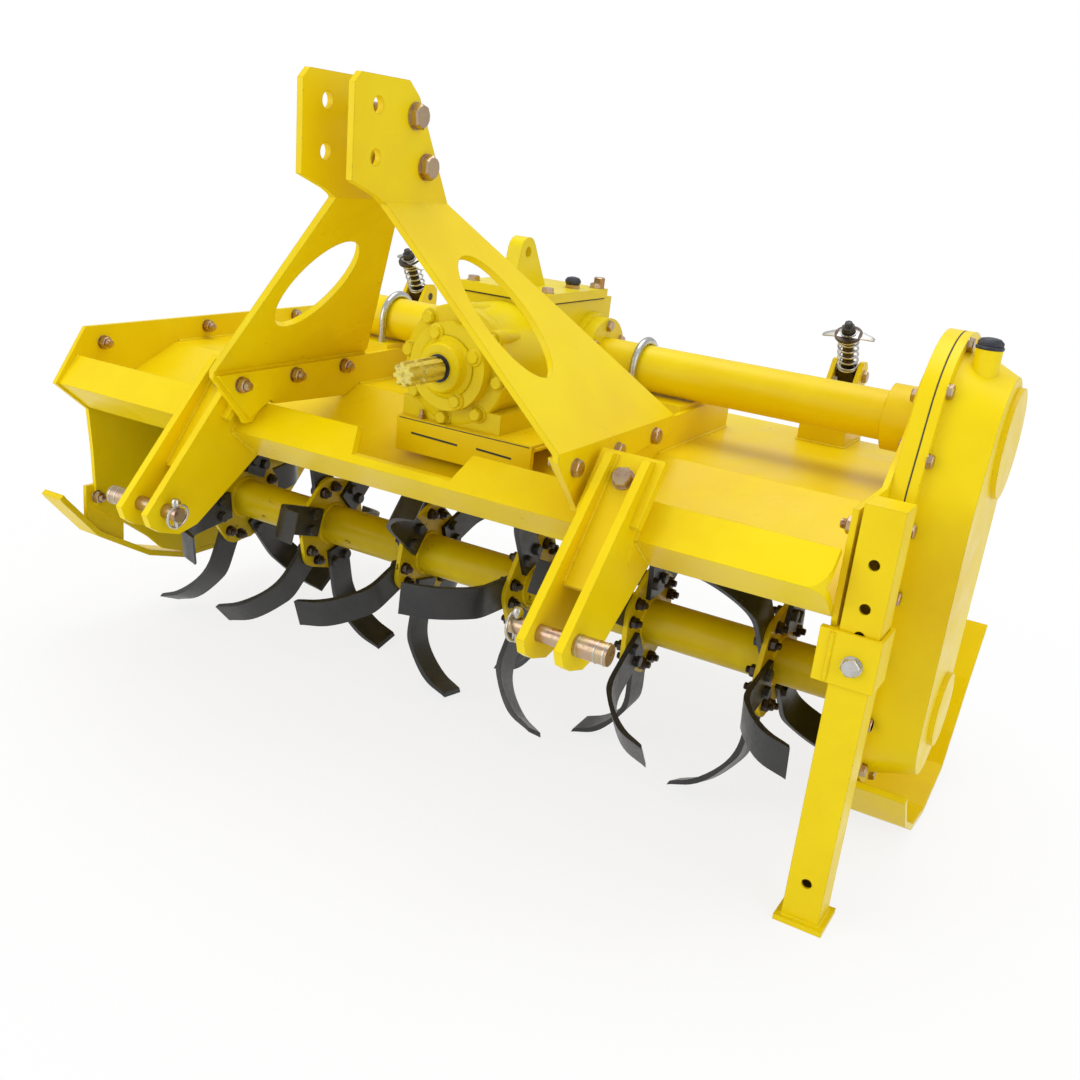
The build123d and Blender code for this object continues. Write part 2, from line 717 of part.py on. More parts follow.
def rod_swivels():
    parts = []
    for x in rod_places:
        body = along_rod(Box(26, 26, 26), x) + x_cylinder(trunnion_radius, x - 26, 52, yoke_y, yoke_z)
        parts.append(body - along_rod(Cylinder(rod_radius + 0.5, 60), x))
    return Compound(children=parts)


def rod_springs():
    parts = []
    for x in rod_places:
        coil = Pos(0, 0, 13.5) * (Cylinder(18, rod_top - 36, align=(Align.CENTER, Align.CENTER, Align.MIN))
                                  - Cylinder(13, rod_top - 36, align=(Align.CENTER, Align.CENTER, Align.MIN)))
        parts.append(along_rod(coil, x))
    return Compound(children=parts)


def rod_bracket(x):
    foot = [(236, deck_z), (deck_rear_y, deck_z), (345, 533.3), (345, 596), (236, 596)]
    stand = yz_plate(foot, x - 38, 76) - block(x - 30, x + 30, 244, 337, 0, 588)
    cheek = [(270, 596), (345, 596), (352, 642), (352, 668), (340, 678), (320, 678), (296, 640)]
    for start in (x - 26, x + 18):
        stand += yz_plate(cheek, start, 8) - x_cylinder(trunnion_radius + 0.5, start, 8, yoke_y, yoke_z)
    return stand


PIECES = {
    "hood": hood,
    "front_beam": front_beam,
    "side_plate_left": side_plate_left,
    "side_plate_right": side_plate_right,
    "gear_case_back": gear_case_back,
    "gear_case_gasket": gear_case_gasket,
    "gear_case_cover": gear_case_cover,
    "skid_left": skid_left,
    "skid_right": skid_right,
    "gearbox_base": gearbox_base,
    "gearbox_housing": gearbox_housing,
    "gearbox_front_cover": gearbox_front_cover,
    "gearbox_top_cover": gearbox_top_cover,
    "pto_shaft": pto_shaft,
    "axle_tube_right": axle_tube_right,
    "axle_tube_left": axle_tube_left,
    "mast_plate_right": mast_plate_right,
    "mast_spacers": mast_spacers,
    "rail_right": rail_right,
    "stand_leg": stand_leg,
    "leg_collar": leg_collar,
    "rotor_tube": rotor_tube,
    "rotor_flanges": rotor_flanges,
    "rotor_blades": rotor_blades,
    "bearing_left": bearing_left,
    "hood_hinges": hood_hinges,
    "hinge_pins": hinge_pins,
    "levelling_board": levelling_board,
    "spring_rods": spring_rods,
    "rod_swivels": rod_swivels,
    "rod_springs": rod_springs,
}

for name, make in PIECES.items():
    save(make(), name)

for side, sign in (("left", -1), ("right", 1)):
    save(side_cover(sign), "side_cover_" + side)
    save(hitch_clevis(gear_x + sign * pin_half_spacing), "hitch_clevis_" + side)
    save(hitch_pin(gear_x + sign * pin_half_spacing, sign), "hitch_pin_" + side)
    save(rod_bracket(rod_places[0 if sign < 0 else 1]), "rod_bracket_" + side)

save(across(mast_plate_right()), "mast_plate_left")
save(across(rail_right()), "rail_left")
save(u_bolt(left_u_bolt_x), "u_bolt_left")
save(u_bolt(right_u_bolt_x), "u_bolt_right")
save(tube_saddle(left_u_bolt_x - 70, gear_x - mast_foot_half, left_u_bolt_x), "tube_saddle_left")
save(tube_saddle(right_u_bolt_x - 26, gear_x + mast_foot_half - plate, right_u_bolt_x), "tube_saddle_right")
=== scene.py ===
import json
from math import cos, dist, pi, radians, sin, sqrt

import bmesh
import bpy
from mathutils import Matrix, Vector


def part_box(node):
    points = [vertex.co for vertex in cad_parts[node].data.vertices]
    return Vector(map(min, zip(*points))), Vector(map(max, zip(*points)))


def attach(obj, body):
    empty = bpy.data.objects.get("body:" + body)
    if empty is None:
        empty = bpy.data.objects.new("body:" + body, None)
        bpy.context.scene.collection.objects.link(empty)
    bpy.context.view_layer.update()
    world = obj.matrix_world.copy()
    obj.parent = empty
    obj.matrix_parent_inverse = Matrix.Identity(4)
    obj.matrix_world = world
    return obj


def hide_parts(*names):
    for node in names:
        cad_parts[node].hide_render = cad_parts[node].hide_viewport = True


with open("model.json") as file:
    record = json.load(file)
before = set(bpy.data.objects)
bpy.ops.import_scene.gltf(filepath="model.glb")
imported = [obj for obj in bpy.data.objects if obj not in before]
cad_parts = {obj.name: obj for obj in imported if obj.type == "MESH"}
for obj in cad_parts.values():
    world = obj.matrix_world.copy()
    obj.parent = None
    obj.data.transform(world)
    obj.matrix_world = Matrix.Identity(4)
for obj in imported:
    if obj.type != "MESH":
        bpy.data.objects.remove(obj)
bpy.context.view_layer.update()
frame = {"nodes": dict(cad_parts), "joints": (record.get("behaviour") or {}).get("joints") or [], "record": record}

mm = 0.001
nodes = frame["nodes"]
joints = {joint["name"]: joint for joint in frame["joints"]}
scene = bpy.context.scene
print("frame loaded:", len(nodes), "nodes")


camera = {"place": (923.9, -1613.6, 931.4), "turn": 28.4, "tilt": 19.1, "roll": -6.2,
          "lens": 38.957, "shift": (0.01074, 0.01093)}
stage = {"floorSize": 60.0, "floorTone": (0.88, 0.88, 0.89), "plainShare": 0.8, "shadowReach": 0.6,
         "whiteFrom": 1.6, "sky": 0.66}
lamps = {
    "key": {"place": (-0.2, 0.7, 4.2), "size": 3.0, "power": 72.0},
    "fill": {"place": (-2.2, -3.6, 1.9), "size": 3.0, "power": 56.0},
    "side": {"place": (3.6, -1.6, 2.0), "size": 2.6, "power": 30.0},
}
lampTarget = Vector((0.0, 0.0, 0.4))


def makeCamera(look):
    turn, tilt, roll = (radians(look[key]) for key in ("turn", "tilt", "roll"))
    ahead = Vector((-sin(turn) * cos(tilt), cos(turn) * cos(tilt), -sin(tilt)))
    level = Vector((cos(turn), sin(turn), 0.0))
    down = ahead.cross(level)
    right = cos(roll) * level + sin(roll) * down
    down = cos(roll) * down - sin(roll) * level
    data = bpy.data.cameras.new("camera")
    data.lens = look["lens"]
    data.sensor_width = 36.0
    data.shift_x, data.shift_y = look["shift"]
    data.clip_end = 200.0
    lens = newObject("camera", data)
    turned = Matrix((right, -down, -ahead)).transposed().to_4x4()
    lens.matrix_world = Matrix.Translation(Vector(look["place"]) * mm) @ turned
    scene.camera = lens


def newObject(name, data):
    made = bpy.data.objects.new(name, data)
    scene.collection.objects.link(made)
    return made


def meshOf(name, bm):
    mesh = bpy.data.meshes.new(name)
    bm.to_mesh(mesh)
    bm.free()
    return mesh


class Wire:  # one socket of a node tree, so that shader maths reads as plain sums
    def __init__(self, tree, socket=None):
        self.tree = tree
        self.socket = socket

    def add(self, kind, values=None, out=0, **settings):
        node = self.tree.nodes.new(kind)
        for key, value in settings.items():
            if key == "stops":
                self.setStops(node.color_ramp, value)
            else:
                setattr(node, key, value)
        for key, value in (values or {}).items():
            self.put(value, node.inputs[key])
        return Wire(self.tree, node.outputs[out])

    def setStops(self, ramp, stops):
        while len(ramp.elements) < len(stops):
            ramp.elements.new(0.5)
        for element, (place, tone) in zip(ramp.elements, stops):
            element.position = place
            element.color = (*tone, 1.0) if isinstance(tone, tuple) else (tone, tone, tone, 1.0)

    def put(self, value, target):
        if isinstance(value, Wire):
            self.tree.links.new(value.socket, target)
        elif isinstance(value, tuple) and target.type == "RGBA" and len(value) == 3:
            target.default_value = (*value, 1.0)
        else:
            target.default_value = value

    def sum(self, operation, first, second):
        for one in (first, second):
            if isinstance(one, tuple) or isinstance(one, Wire) and one.socket.type in ("VECTOR", "RGBA"):
                pair = {0: first, 1: second}
                for key, value in pair.items():
                    if isinstance(value, (int, float)):
                        pair[key] = (value, value, value)
                return self.add("ShaderNodeVectorMath", pair, operation=operation)
        return self.add("ShaderNodeMath", {0: first, 1: second}, operation=operation)

    def __add__(self, other): return self.sum("ADD", self, other)
    def __radd__(self, other): return self.sum("ADD", other, self)
    def __sub__(self, other): return self.sum("SUBTRACT", self, other)
    def __rsub__(self, other): return self.sum("SUBTRACT", other, self)
    def __mul__(self, other): return self.sum("MULTIPLY", self, other)
    def __rmul__(self, other): return self.sum("MULTIPLY", other, self)
    def __truediv__(self, other): return self.sum("DIVIDE", self, other)
    def __rtruediv__(self, other): return self.sum("DIVIDE", other, self)

    def end(self, kind, socket="Surface"):  # the tree's output takes this value
        self.tree.links.new(self.socket, self.tree.nodes.new(kind).inputs[socket])

    def ramp(self, low, high, first=0.0, last=1.0):  # a clamped stretch of the value
        return self.add("ShaderNodeMapRange", {"Value": self, "From Min": low, "From Max": high,
                                               "To Min": first, "To Max": last})

    def between(self, first, last):  # this value mixes two colours
        return self.add("ShaderNodeMix", {0: self, 6: first, 7: last}, out=2, data_type="RGBA")

    def rounded(self, radius):
        return self.add("ShaderNodeBevel", {"Radius": radius * mm}, samples=3)

    def bump(self, height, strength, distance, **normal):
        return self.add("ShaderNodeBump", {"Height": height, "Strength": strength, "Distance": distance * mm,
                                           **normal})

    def noise(self, place, scale, detail=3.0, rough=0.55):
        return self.add("ShaderNodeTexNoise", {"Vector": place, "Scale": scale, "Detail": detail,
                                               "Roughness": rough})


def emptied(owner):  # the bare node tree of a material or the world
    owner.use_nodes = True
    owner.node_tree.nodes.clear()
    return Wire(owner.node_tree)


def makeStage(look):
    floor = bpy.data.materials.new("floor")
    w = emptied(floor)
    diffuse = w.add("ShaderNodeBsdfDiffuse", {"Color": look["floorTone"]})
    white = w.add("ShaderNodeEmission", {"Color": (1.0, 1.0, 1.0), "Strength": 1.0})
    path = w.add("ShaderNodeLightPath", out="Is Camera Ray")
    seen = path + Wire(w.tree, path.socket.node.outputs["Is Glossy Ray"])
    seen = seen + Wire(w.tree, path.socket.node.outputs["Is Transmission Ray"])
    seen = w.sum("MINIMUM", seen, 1.0)
    place = w.add("ShaderNodeTexCoord", out="Object")
    away = w.add("ShaderNodeVectorMath", {0: place}, out="Value", operation="LENGTH")
    far = away.ramp(look["shadowReach"], look["whiteFrom"])
    plain = look["plainShare"] + (1.0 - look["plainShare"]) * far
    w.add("ShaderNodeMixShader", {0: seen * plain, 1: diffuse, 2: white}).end("ShaderNodeOutputMaterial")
    bm = bmesh.new()
    bmesh.ops.create_grid(bm, x_segments=4, y_segments=4, size=look["floorSize"] / 2)
    mesh = meshOf("floor", bm)
    mesh.materials.append(floor)
    ground = newObject("floor", mesh)
    world = bpy.data.worlds.new("studio")
    w = emptied(world)
    path = w.add("ShaderNodeLightPath", out="Is Camera Ray")
    soft = w.add("ShaderNodeBackground", {"Color": (0.97, 0.985, 1.0), "Strength": look["sky"]})
    plain = w.add("ShaderNodeBackground", {"Color": (1.0, 1.0, 1.0), "Strength": 1.0})
    w.add("ShaderNodeMixShader", {0: path, 1: soft, 2: plain}).end("ShaderNodeOutputWorld")
    scene.world = world


def makeLamps(rig):
    for name, lamp in rig.items():
        data = bpy.data.lights.new(name, "AREA")
        data.size = lamp["size"]
        data.energy = lamp["power"]
        light = newObject(name, data)
        turn = (lampTarget - Vector(lamp["place"])).to_track_quat("-Z", "Y").to_matrix().to_4x4()
        light.matrix_world = Matrix.Translation(lamp["place"]) @ turn


makeCamera(camera)
makeStage(stage)
makeLamps(lamps)
scene.view_settings.view_transform = "Standard"
print("camera, floor and lamps made")


paintLook = {
    "plate": {"tone": (0.88, 0.675, 0.001), "deep": (0.81, 0.57, 0.0005), "pale": (0.90, 0.73, 0.006),
              "worn": (0.46, 0.30, 0.012), "bare": (0.20, 0.14, 0.06), "peel": 0.05, "peelScale": 520.0,
              "lump": 0.10, "lumpScale": 40.0, "rough": (0.26, 0.46), "scuffs": 0.35, "chips": 0.7,
              "flakes": 0.0},
}
paintLook["cast"] = {
    **paintLook["plate"], "tone": (0.84, 0.68, 0.003), "deep": (0.72, 0.55, 0.002),
    "pale": (0.88, 0.73, 0.01), "worn": (0.36, 0.27, 0.03), "bare": (0.2, 0.16, 0.08), "peel": 0.24,
    "peelScale": 300.0, "lump": 0.34, "lumpScale": 70.0, "chips": 0.5}
paintLook["rotor"] = {
    **paintLook["plate"], "tone": (0.76, 0.57, 0.002), "deep": (0.66, 0.46, 0.001), "scuffs": 0.6,
    "flakes": 0.85}
paintRound = 1.6  # the radius that paint gives an edge
rustTone = (0.07, 0.03, 0.012)  # under the flakes


def startMaterial(name, constants):
    material = bpy.data.materials.new(name)
    w = emptied(material)
    shader = w.add("ShaderNodeBsdfPrincipled", constants)
    shader.end("ShaderNodeOutputMaterial")
    return material, w, shader.socket.node.inputs, w.add("ShaderNodeTexCoord", out="Object")


def endMaterial(material, w, shader, **results):
    for key, value in results.items():
        w.put(value, shader[key.replace("_", " ")])
    return material


def edgeMask(w, normal):  # how far the rounded normal leans from the true one: near 1 on a plate's edge
    plain = w.add("ShaderNodeNewGeometry", out="Normal")
    lean = w.add("ShaderNodeVectorMath", {0: normal, 1: plain}, out="Value", operation="DOT_PRODUCT")
    return (1.0 - lean).ramp(0.01, 0.12)


def paintMaterial(name, look):
    material, w, shader, place = startMaterial(name, {"IOR": 1.5, "Specular IOR Level": 0.22})
    drift = w.noise(place, 3.2, 3.0)
    cloud = w.noise(place, 19.0, 4.0)
    grain = w.noise(place, 210.0, 2.0)
    rounded = w.rounded(paintRound)
    edge = edgeMask(w, rounded)
    tone = drift.ramp(0.3, 0.6).between(look["deep"], look["tone"])
    tone = cloud.ramp(0.5, 0.8, 0.0, 0.4).between(tone, look["pale"])
    # thin scuffs in patches, and small chips along the edges
    patch = w.noise(place, 7.0, 2.0).ramp(0.5, 0.66)
    scuff = w.noise(place, 90.0, 6.0, 0.7).ramp(0.63, 0.70) * grain.ramp(0.45, 0.6) * patch
    tone = (scuff * look["scuffs"]).between(tone, look["worn"])
    chip = edge * w.noise(place, 150.0, 4.0).ramp(0.62, 0.66)
    tone = (chip * look["chips"]).between(tone, look["bare"])
    if look["flakes"]:
        spots = w.noise(place, 46.0, 3.0, 0.6).ramp(0.655, 0.67) * w.noise(place, 5.0, 1.0).ramp(0.5, 0.6)
        chip = w.sum("MAXIMUM", chip, spots)
        tone = (spots * look["flakes"]).between(tone, rustTone)
    rough = cloud.ramp(0.3, 0.75, *look["rough"]) + scuff * 0.2 + chip * 0.3
    peel = w.noise(place, look["peelScale"], 2.0)
    lump = w.noise(place, look["lumpScale"], 3.0)
    bump = w.bump(peel * look["peel"] + lump * look["lump"], 0.5, 1.2, Normal=rounded)
    return endMaterial(material, w, shader, Base_Color=tone, Roughness=rough, Normal=bump)


def metalMaterial(name, look):
    material, w, shader, place = startMaterial(name, {"IOR": 2.5})
    patch = w.noise(place, look["patchScale"], 3.0)
    spangle = w.add("ShaderNodeTexVoronoi", {"Vector": place, "Scale": look["grainScale"]}, out="Distance")
    rub = w.noise(place, 260.0, 4.0)
    rounded = w.rounded(look["round"])
    tone = patch.ramp(0.36, 0.64).between(look["first"], look["second"])
    tone = spangle.ramp(0.1, 0.75, 0.0, look["spangle"]).between(tone, look["third"])
    stain = rub.ramp(0.6, 0.72, 0.0, look["stain"])
    tone = stain.between(tone, look["dirt"])
    rough = patch.ramp(0.3, 0.7, *look["rough"]) + rub.ramp(0.5, 0.7, 0.0, 0.12)
    bump = w.bump(rub * 0.5 + spangle * 0.3, look["bump"], 0.4, Normal=rounded)
    return endMaterial(material, w, shader, Base_Color=tone, Roughness=rough, Metallic=1.0 - stain,
                       Normal=bump)


def darkMaterial(name, look):
    material, w, shader, place = startMaterial(name, {"IOR": 1.5, "Coat Roughness": 0.2})
    cloud = w.noise(place, look["cloudScale"], 4.0)
    grain = w.noise(place, look["grainScale"], 3.0)
    rounded = w.rounded(look["round"])
    edge = edgeMask(w, rounded)
    tone = cloud.ramp(0.35, 0.7).between(look["tone"], look["worn"])
    tone = (edge * grain.ramp(0.5, 0.62, 0.0, look["edge"])).between(tone, look["bare"])
    rough = cloud.ramp(0.3, 0.7, *look["rough"]) + grain.ramp(0.4, 0.7, 0.0, 0.1)
    bump = w.bump(cloud * 0.5 + grain * 0.5, look["bump"], 0.8, Normal=rounded)
    return endMaterial(material, w, shader, Base_Color=tone, Roughness=rough, Normal=bump)


metalLook = {
    "yellowZinc": {"first": (0.50, 0.31, 0.20), "second": (0.52, 0.41, 0.20), "third": (0.46, 0.36, 0.37),
                   "dirt": (0.16, 0.12, 0.08), "patchScale": 60.0, "grainScale": 300.0, "spangle": 0.35,
                   "stain": 0.55, "rough": (0.22, 0.4), "bump": 0.35, "round": 0.6},
    "whiteZinc": {"first": (0.56, 0.55, 0.53), "second": (0.44, 0.42, 0.36), "third": (0.62, 0.62, 0.62),
                  "dirt": (0.25, 0.2, 0.13), "patchScale": 45.0, "grainScale": 220.0, "spangle": 0.5,
                  "stain": 0.4, "rough": (0.2, 0.38), "bump": 0.3, "round": 0.6},
    "springWire": {"first": (0.56, 0.54, 0.50), "second": (0.44, 0.41, 0.36), "third": (0.62, 0.61, 0.57),
                   "dirt": (0.3, 0.24, 0.18), "patchScale": 70.0, "grainScale": 400.0, "spangle": 0.3,
                   "stain": 0.3, "rough": (0.2, 0.34), "bump": 0.2, "round": 0.3},
    "oiledSteel": {"first": (0.07, 0.06, 0.055), "second": (0.12, 0.085, 0.065),
                   "third": (0.05, 0.042, 0.036), "dirt": (0.05, 0.035, 0.025), "patchScale": 40.0,
                   "grainScale": 260.0, "spangle": 0.4, "stain": 0.6, "rough": (0.3, 0.5), "bump": 0.4,
                   "round": 0.6},
}
darkLook = {
    "bladeBlack": {"tone": (0.014, 0.014, 0.015), "worn": (0.032, 0.032, 0.033), "bare": (0.16, 0.15, 0.14),
                   "cloudScale": 14.0, "grainScale": 180.0, "edge": 0.7, "rough": (0.26, 0.46), "bump": 0.28,
                   "round": 1.6},
    "nutBlack": {"tone": (0.02, 0.019, 0.019), "worn": (0.05, 0.045, 0.04), "bare": (0.2, 0.18, 0.16),
                 "cloudScale": 60.0, "grainScale": 300.0, "edge": 0.6, "rough": (0.3, 0.5), "bump": 0.2,
                 "round": 0.5},
    # a real gasket's black sheet, also used as the painted shade in the gearbox's gaps
    "gasketAndGapShade": {"tone": (0.02, 0.02, 0.02), "worn": (0.06, 0.055, 0.045), "bare": (0.09, 0.08, 0.06),
                    "cloudScale": 50.0, "grainScale": 500.0, "edge": 0.2, "rough": (0.6, 0.85), "bump": 0.3,
                    "round": 0.4},
    "capBlack": {"tone": (0.012, 0.014, 0.022), "worn": (0.03, 0.034, 0.05), "bare": (0.07, 0.075, 0.1),
                 "cloudScale": 40.0, "grainScale": 350.0, "edge": 0.4, "rough": (0.28, 0.42), "bump": 0.12,
                 "round": 0.8},
}
finish = {name: paintMaterial("paint_" + name, look) for name, look in paintLook.items()}
finish.update({name: metalMaterial(name, look) for name, look in metalLook.items()})
finish.update({name: darkMaterial(name, look) for name, look in darkLook.items()})

oversprayed = {"steel": (0.30, 0.27, 0.20), "spray": (0.74, 0.60, 0.03), "dirt": (0.09, 0.07, 0.04),
               "rough": (0.25, 0.45), "drawn": (1.0, 0.16, 1.0)}


def oversprayMaterial(name, look):  # machined steel that caught a mist of paint
    material, w, shader, place = startMaterial(name, {"IOR": 1.9})
    drawn = w.sum("MULTIPLY", place, look["drawn"])  # marks run along the shaft
    mist = w.noise(drawn, 110.0, 3.0).ramp(0.28, 0.46)
    speck = w.noise(place, 420.0, 3.0).ramp(0.44, 0.56)
    grime = w.noise(drawn, 260.0, 4.0).ramp(0.62, 0.72) * 0.7
    cover = mist * 0.75 + speck * 0.25
    tone = grime.between(cover.between(look["steel"], look["spray"]), look["dirt"])
    bump = w.bump(speck, 0.3, 0.3)
    rough = cover.ramp(0.0, 1.0, *look["rough"])
    return endMaterial(material, w, shader, Base_Color=tone, Roughness=rough, Metallic=1.0 - cover * 0.95,
                       Normal=bump)


finish["oversprayed"] = oversprayMaterial("paint_misted_steel", oversprayed)

nodeFinish = {
    "yellow_paint": "plate", "black_paint": "bladeBlack", "zinc": "yellowZinc", "dark_steel": "oiledSteel",
    "bright_steel": "springWire", "gasket": "gasketAndGapShade",
}
ownFinish = {
    "cast": ("gearbox_housing", "gearbox_front_cover", "gearbox_top_cover", "side_cover_left",
             "side_cover_right", "bearing_left"),
    "rotor": ("rotor_tube", "rotor_flanges"),
    "whiteZinc": ("u_bolt_left", "u_bolt_right"),
}
slotOf = {row["node"]: row["material_slot"] for row in frame["record"]["subparts"]}
for name, node in nodes.items():
    choice = nodeFinish[slotOf[name]]
    for own, names in ownFinish.items():
        if name in names:
            choice = own
    node.data.materials.clear()
    node.data.materials.append(finish[choice])
print("finishes made:", len(finish))


def onCircle(first, second, radius, count, start=0.0):  # places round a circle, from an angle in degrees
    turns = [radians(start + 360.0 * i / count) for i in range(count)]
    return [(first + radius * cos(turn), second + radius * sin(turn)) for turn in turns]


def skin(bm, rings, capped=True, looped=False):  # joins rings of points into a shell
    made = [[bm.verts.new(point) for point in ring] for ring in rings]
    for first, second in zip(made, made[1:] + made[:1] if looped else made[1:]):
        for i in range(len(first)):
            j = (i + 1) % len(first)
            bm.faces.new((first[i], first[j], second[j], second[i]))
    if capped:
        bm.faces.new(made[0][::-1])
        bm.faces.new(made[-1])
    return made


def roundRing(radius, z, sides=24):
    return [Vector((x, y, z)) for x, y in onCircle(0.0, 0.0, radius, sides)]


def hexRing(flats, z):  # corners and the middles of the flats
    return [Vector((reach * cos(pi * i / 6), reach * sin(pi * i / 6), z))
            for i, reach in enumerate((flats / sqrt(3), flats / 2) * 6)]


def hexStack(bm, hexes, rounds, place=Matrix.Identity(4)):  # (flats, height) pairs, then (radius, height)
    rings = [hexRing(flats, z) for flats, z in hexes] + [roundRing(radius, z, 12) for radius, z in rounds]
    skin(bm, [[place @ point for point in ring] for ring in rings])


def lathe(bm, profile, place=Matrix.Identity(4), sides=24):  # (radius, height) pairs round +Z
    skin(bm, [[place @ point for point in roundRing(radius, z, sides)] for radius, z in profile])


def prism(bm, outline, low, high, place=Matrix.Identity(4)):
    skin(bm, [[place @ Vector((x, y, z)) for x, y in outline] for z in (low, high)])


def aim(place, facing):  # a matrix that carries +Z to a direction at a place
    turn = Vector(facing).to_track_quat("Z", "Y").to_matrix().to_4x4()
    return Matrix.Translation(Vector(place)) @ turn


def finishPiece(name, bm, material, body, bevel=0.0, angle=32.0):
    bmesh.ops.scale(bm, vec=(mm, mm, mm), verts=bm.verts)
    bmesh.ops.remove_doubles(bm, verts=bm.verts, dist=0.001 * mm)
    bmesh.ops.recalc_face_normals(bm, faces=bm.faces)
    return dressPiece(name, meshOf(name, bm), material, body, bevel, angle)


def dressPiece(name, mesh, material, body, bevel=0.0, angle=32.0):
    mesh.shade_smooth()
    mesh.set_sharp_from_angle(angle=radians(angle))
    mesh.materials.clear()
    mesh.materials.append(finish[material])
    piece = newObject(name, mesh)
    if bevel:
        softEdge = piece.modifiers.new("edges", "BEVEL")
        softEdge.width = bevel * mm
        softEdge.segments = 2
        softEdge.limit_method = "ANGLE"
        softEdge.angle_limit = radians(40)
        mesh = settle(piece)
        mesh.shade_smooth()
        mesh.set_sharp_from_angle(angle=radians(angle))
    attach(piece, body)
    return piece


def settle(piece):  # the piece's modifiers become plain mesh
    bpy.context.view_layer.update()
    shape = bpy.data.meshes.new_from_object(piece.evaluated_get(bpy.context.evaluated_depsgraph_get()))
    piece.modifiers.clear()
    piece.data = shape
    return shape


def newTree(name, inputs):  # an empty geometry tree with named inputs, the mesh first and the material last
    inputs = {"Geometry": "Geometry", **inputs, "Material": "Material"}
    tree = bpy.data.node_groups.new(name, "GeometryNodeTree")
    tree.is_modifier = True
    for label, kind in inputs.items():
        tree.interface.new_socket(label, in_out="INPUT", socket_type="NodeSocket" + kind)
    tree.interface.new_socket("Geometry", in_out="OUTPUT", socket_type="NodeSocketGeometry")
    start = tree.nodes.new("NodeGroupInput")
    return tree, {label: Wire(tree, start.outputs[label]) for label in inputs}


def endTree(geometry, material):
    w = Wire(geometry.tree)
    real = w.add("GeometryNodeRealizeInstances", {"Geometry": geometry})
    dressed = w.add("GeometryNodeSetMaterial", {"Geometry": real, "Material": material})
    dressed.end("NodeGroupOutput", "Geometry")


def uprightTurn(w):  # carries +Z to the way a point faces
    facing = w.add("GeometryNodeInputNamedAttribute", {"Name": "facing"}, data_type="FLOAT_VECTOR")
    return w.add("FunctionNodeAlignRotationToVector", {"Vector": facing}, axis="Z")


def runTree(name, mesh, tree, values, material, body, angle=32.0):
    piece = newObject(name, mesh)
    modifier = piece.modifiers.new("nodes", "NODES")
    modifier.node_group = tree
    values = {**values, "Material": finish[material]}
    for item in tree.interface.items_tree:
        if item.in_out == "INPUT" and item.name in values:
            modifier[item.identifier] = values[item.name]
    shape = settle(piece)
    bpy.data.objects.remove(piece)
    return dressPiece(name, shape, material, body, 0.0, angle)


def middle(node):
    low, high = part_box(node)
    return (low + high) / (2 * mm)


def ends(node):
    low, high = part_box(node)
    return low / mm, high / mm


shaftAxis = middle("pto_shaft")
tubeAxis = middle("axle_tube_left")
rotorAxis = middle("rotor_tube")
mastLow, mastHigh = ends("mast_plate_right")
railLow, railHigh = ends("rail_right")
plateLeft = ends("side_plate_left")
plateRight = ends("side_plate_right")
# the case in circles of (back, radius), the middle one also lower than the shaft
caseRim = {"flange": 12.0, "upper": (50.0, 138.0), "middle": (24.0, 85.0, 142.0), "lower": 135.0}
rimFace = ends("gear_case_gasket")[1].x + caseRim["flange"]
deckTop = ends("hood")[1].z


# sizes are shares of the width across flats
bolts = {"washer": 1.22, "washerHeight": 0.07, "headHeight": 0.38, "nutHeight": 0.54, "stub": 0.95,
         "looseTurn": 0.5}


def washer(bm, look):
    w, r = look["washerHeight"], look["washer"] / 2
    lathe(bm, [(0.2, 0.0), (r, 0.0), (r, w), (0.2, w)])
    return w


def boltHead(bm, look):
    w, h = washer(bm, look), look["headHeight"]
    hexStack(bm, [(1.0, w * 0.9), (1.0, w + h * 0.8)], [(0.475, w + h), (0.3, w + h)])


def nutAndStub(bm, look):
    w, h = washer(bm, look), look["nutHeight"]
    skin(bm, [roundRing(0.46, w * 0.9, 12), hexRing(1.0, w + 0.07), hexRing(1.0, w + h - 0.07),
              roundRing(0.46, w + h, 12), roundRing(0.33, w + h, 12)])
    thread = [(0.3, w + h - 0.05)]
    z = w + h
    while z < look["stub"] - 0.04:
        thread += [(0.335, z), (0.30, z + 0.03)]
        z += 0.06
    lathe(bm, thread + [(0.31, look["stub"]), (0.26, look["stub"] + 0.03)], sides=14)


def sourceShape(name, build):
    bm = bmesh.new()
    build(bm, bolts)
    bmesh.ops.recalc_face_normals(bm, faces=bm.faces)
    return newObject(name, meshOf(name, bm))


def fastenerTree():
    tree, given = newTree("fastenersOnPoints", {"Fastener": "Object", "Loose turn": "Float"})
    w = Wire(tree)
    upright = uprightTurn(w)
    size = w.add("GeometryNodeInputNamedAttribute", {"Name": "flats"}, data_type="FLOAT")
    spin = w.add("FunctionNodeRandomValue", {2: given["Loose turn"] * -1.0, 3: given["Loose turn"],
                                             "Seed": 7}, out=1, data_type="FLOAT")
    spin = w.add("FunctionNodeAxisAngleToRotation", {"Axis": (0.0, 0.0, 1.0), "Angle": spin})
    turned = w.add("FunctionNodeRotateRotation", {"Rotation": upright, "Rotate By": spin},
                   rotation_space="LOCAL")
    shape = w.add("GeometryNodeObjectInfo", {"Object": given["Fastener"]}, out="Geometry")
    scattered = w.add("GeometryNodeInstanceOnPoints", {"Points": given["Geometry"], "Instance": shape,
                                                       "Rotation": turned, "Scale": size})
    endTree(scattered, given["Material"])
    return tree


fastening = fastenerTree()
headShape = sourceShape("headShape", boltHead)
nutShape = sourceShape("nutShape", nutAndStub)


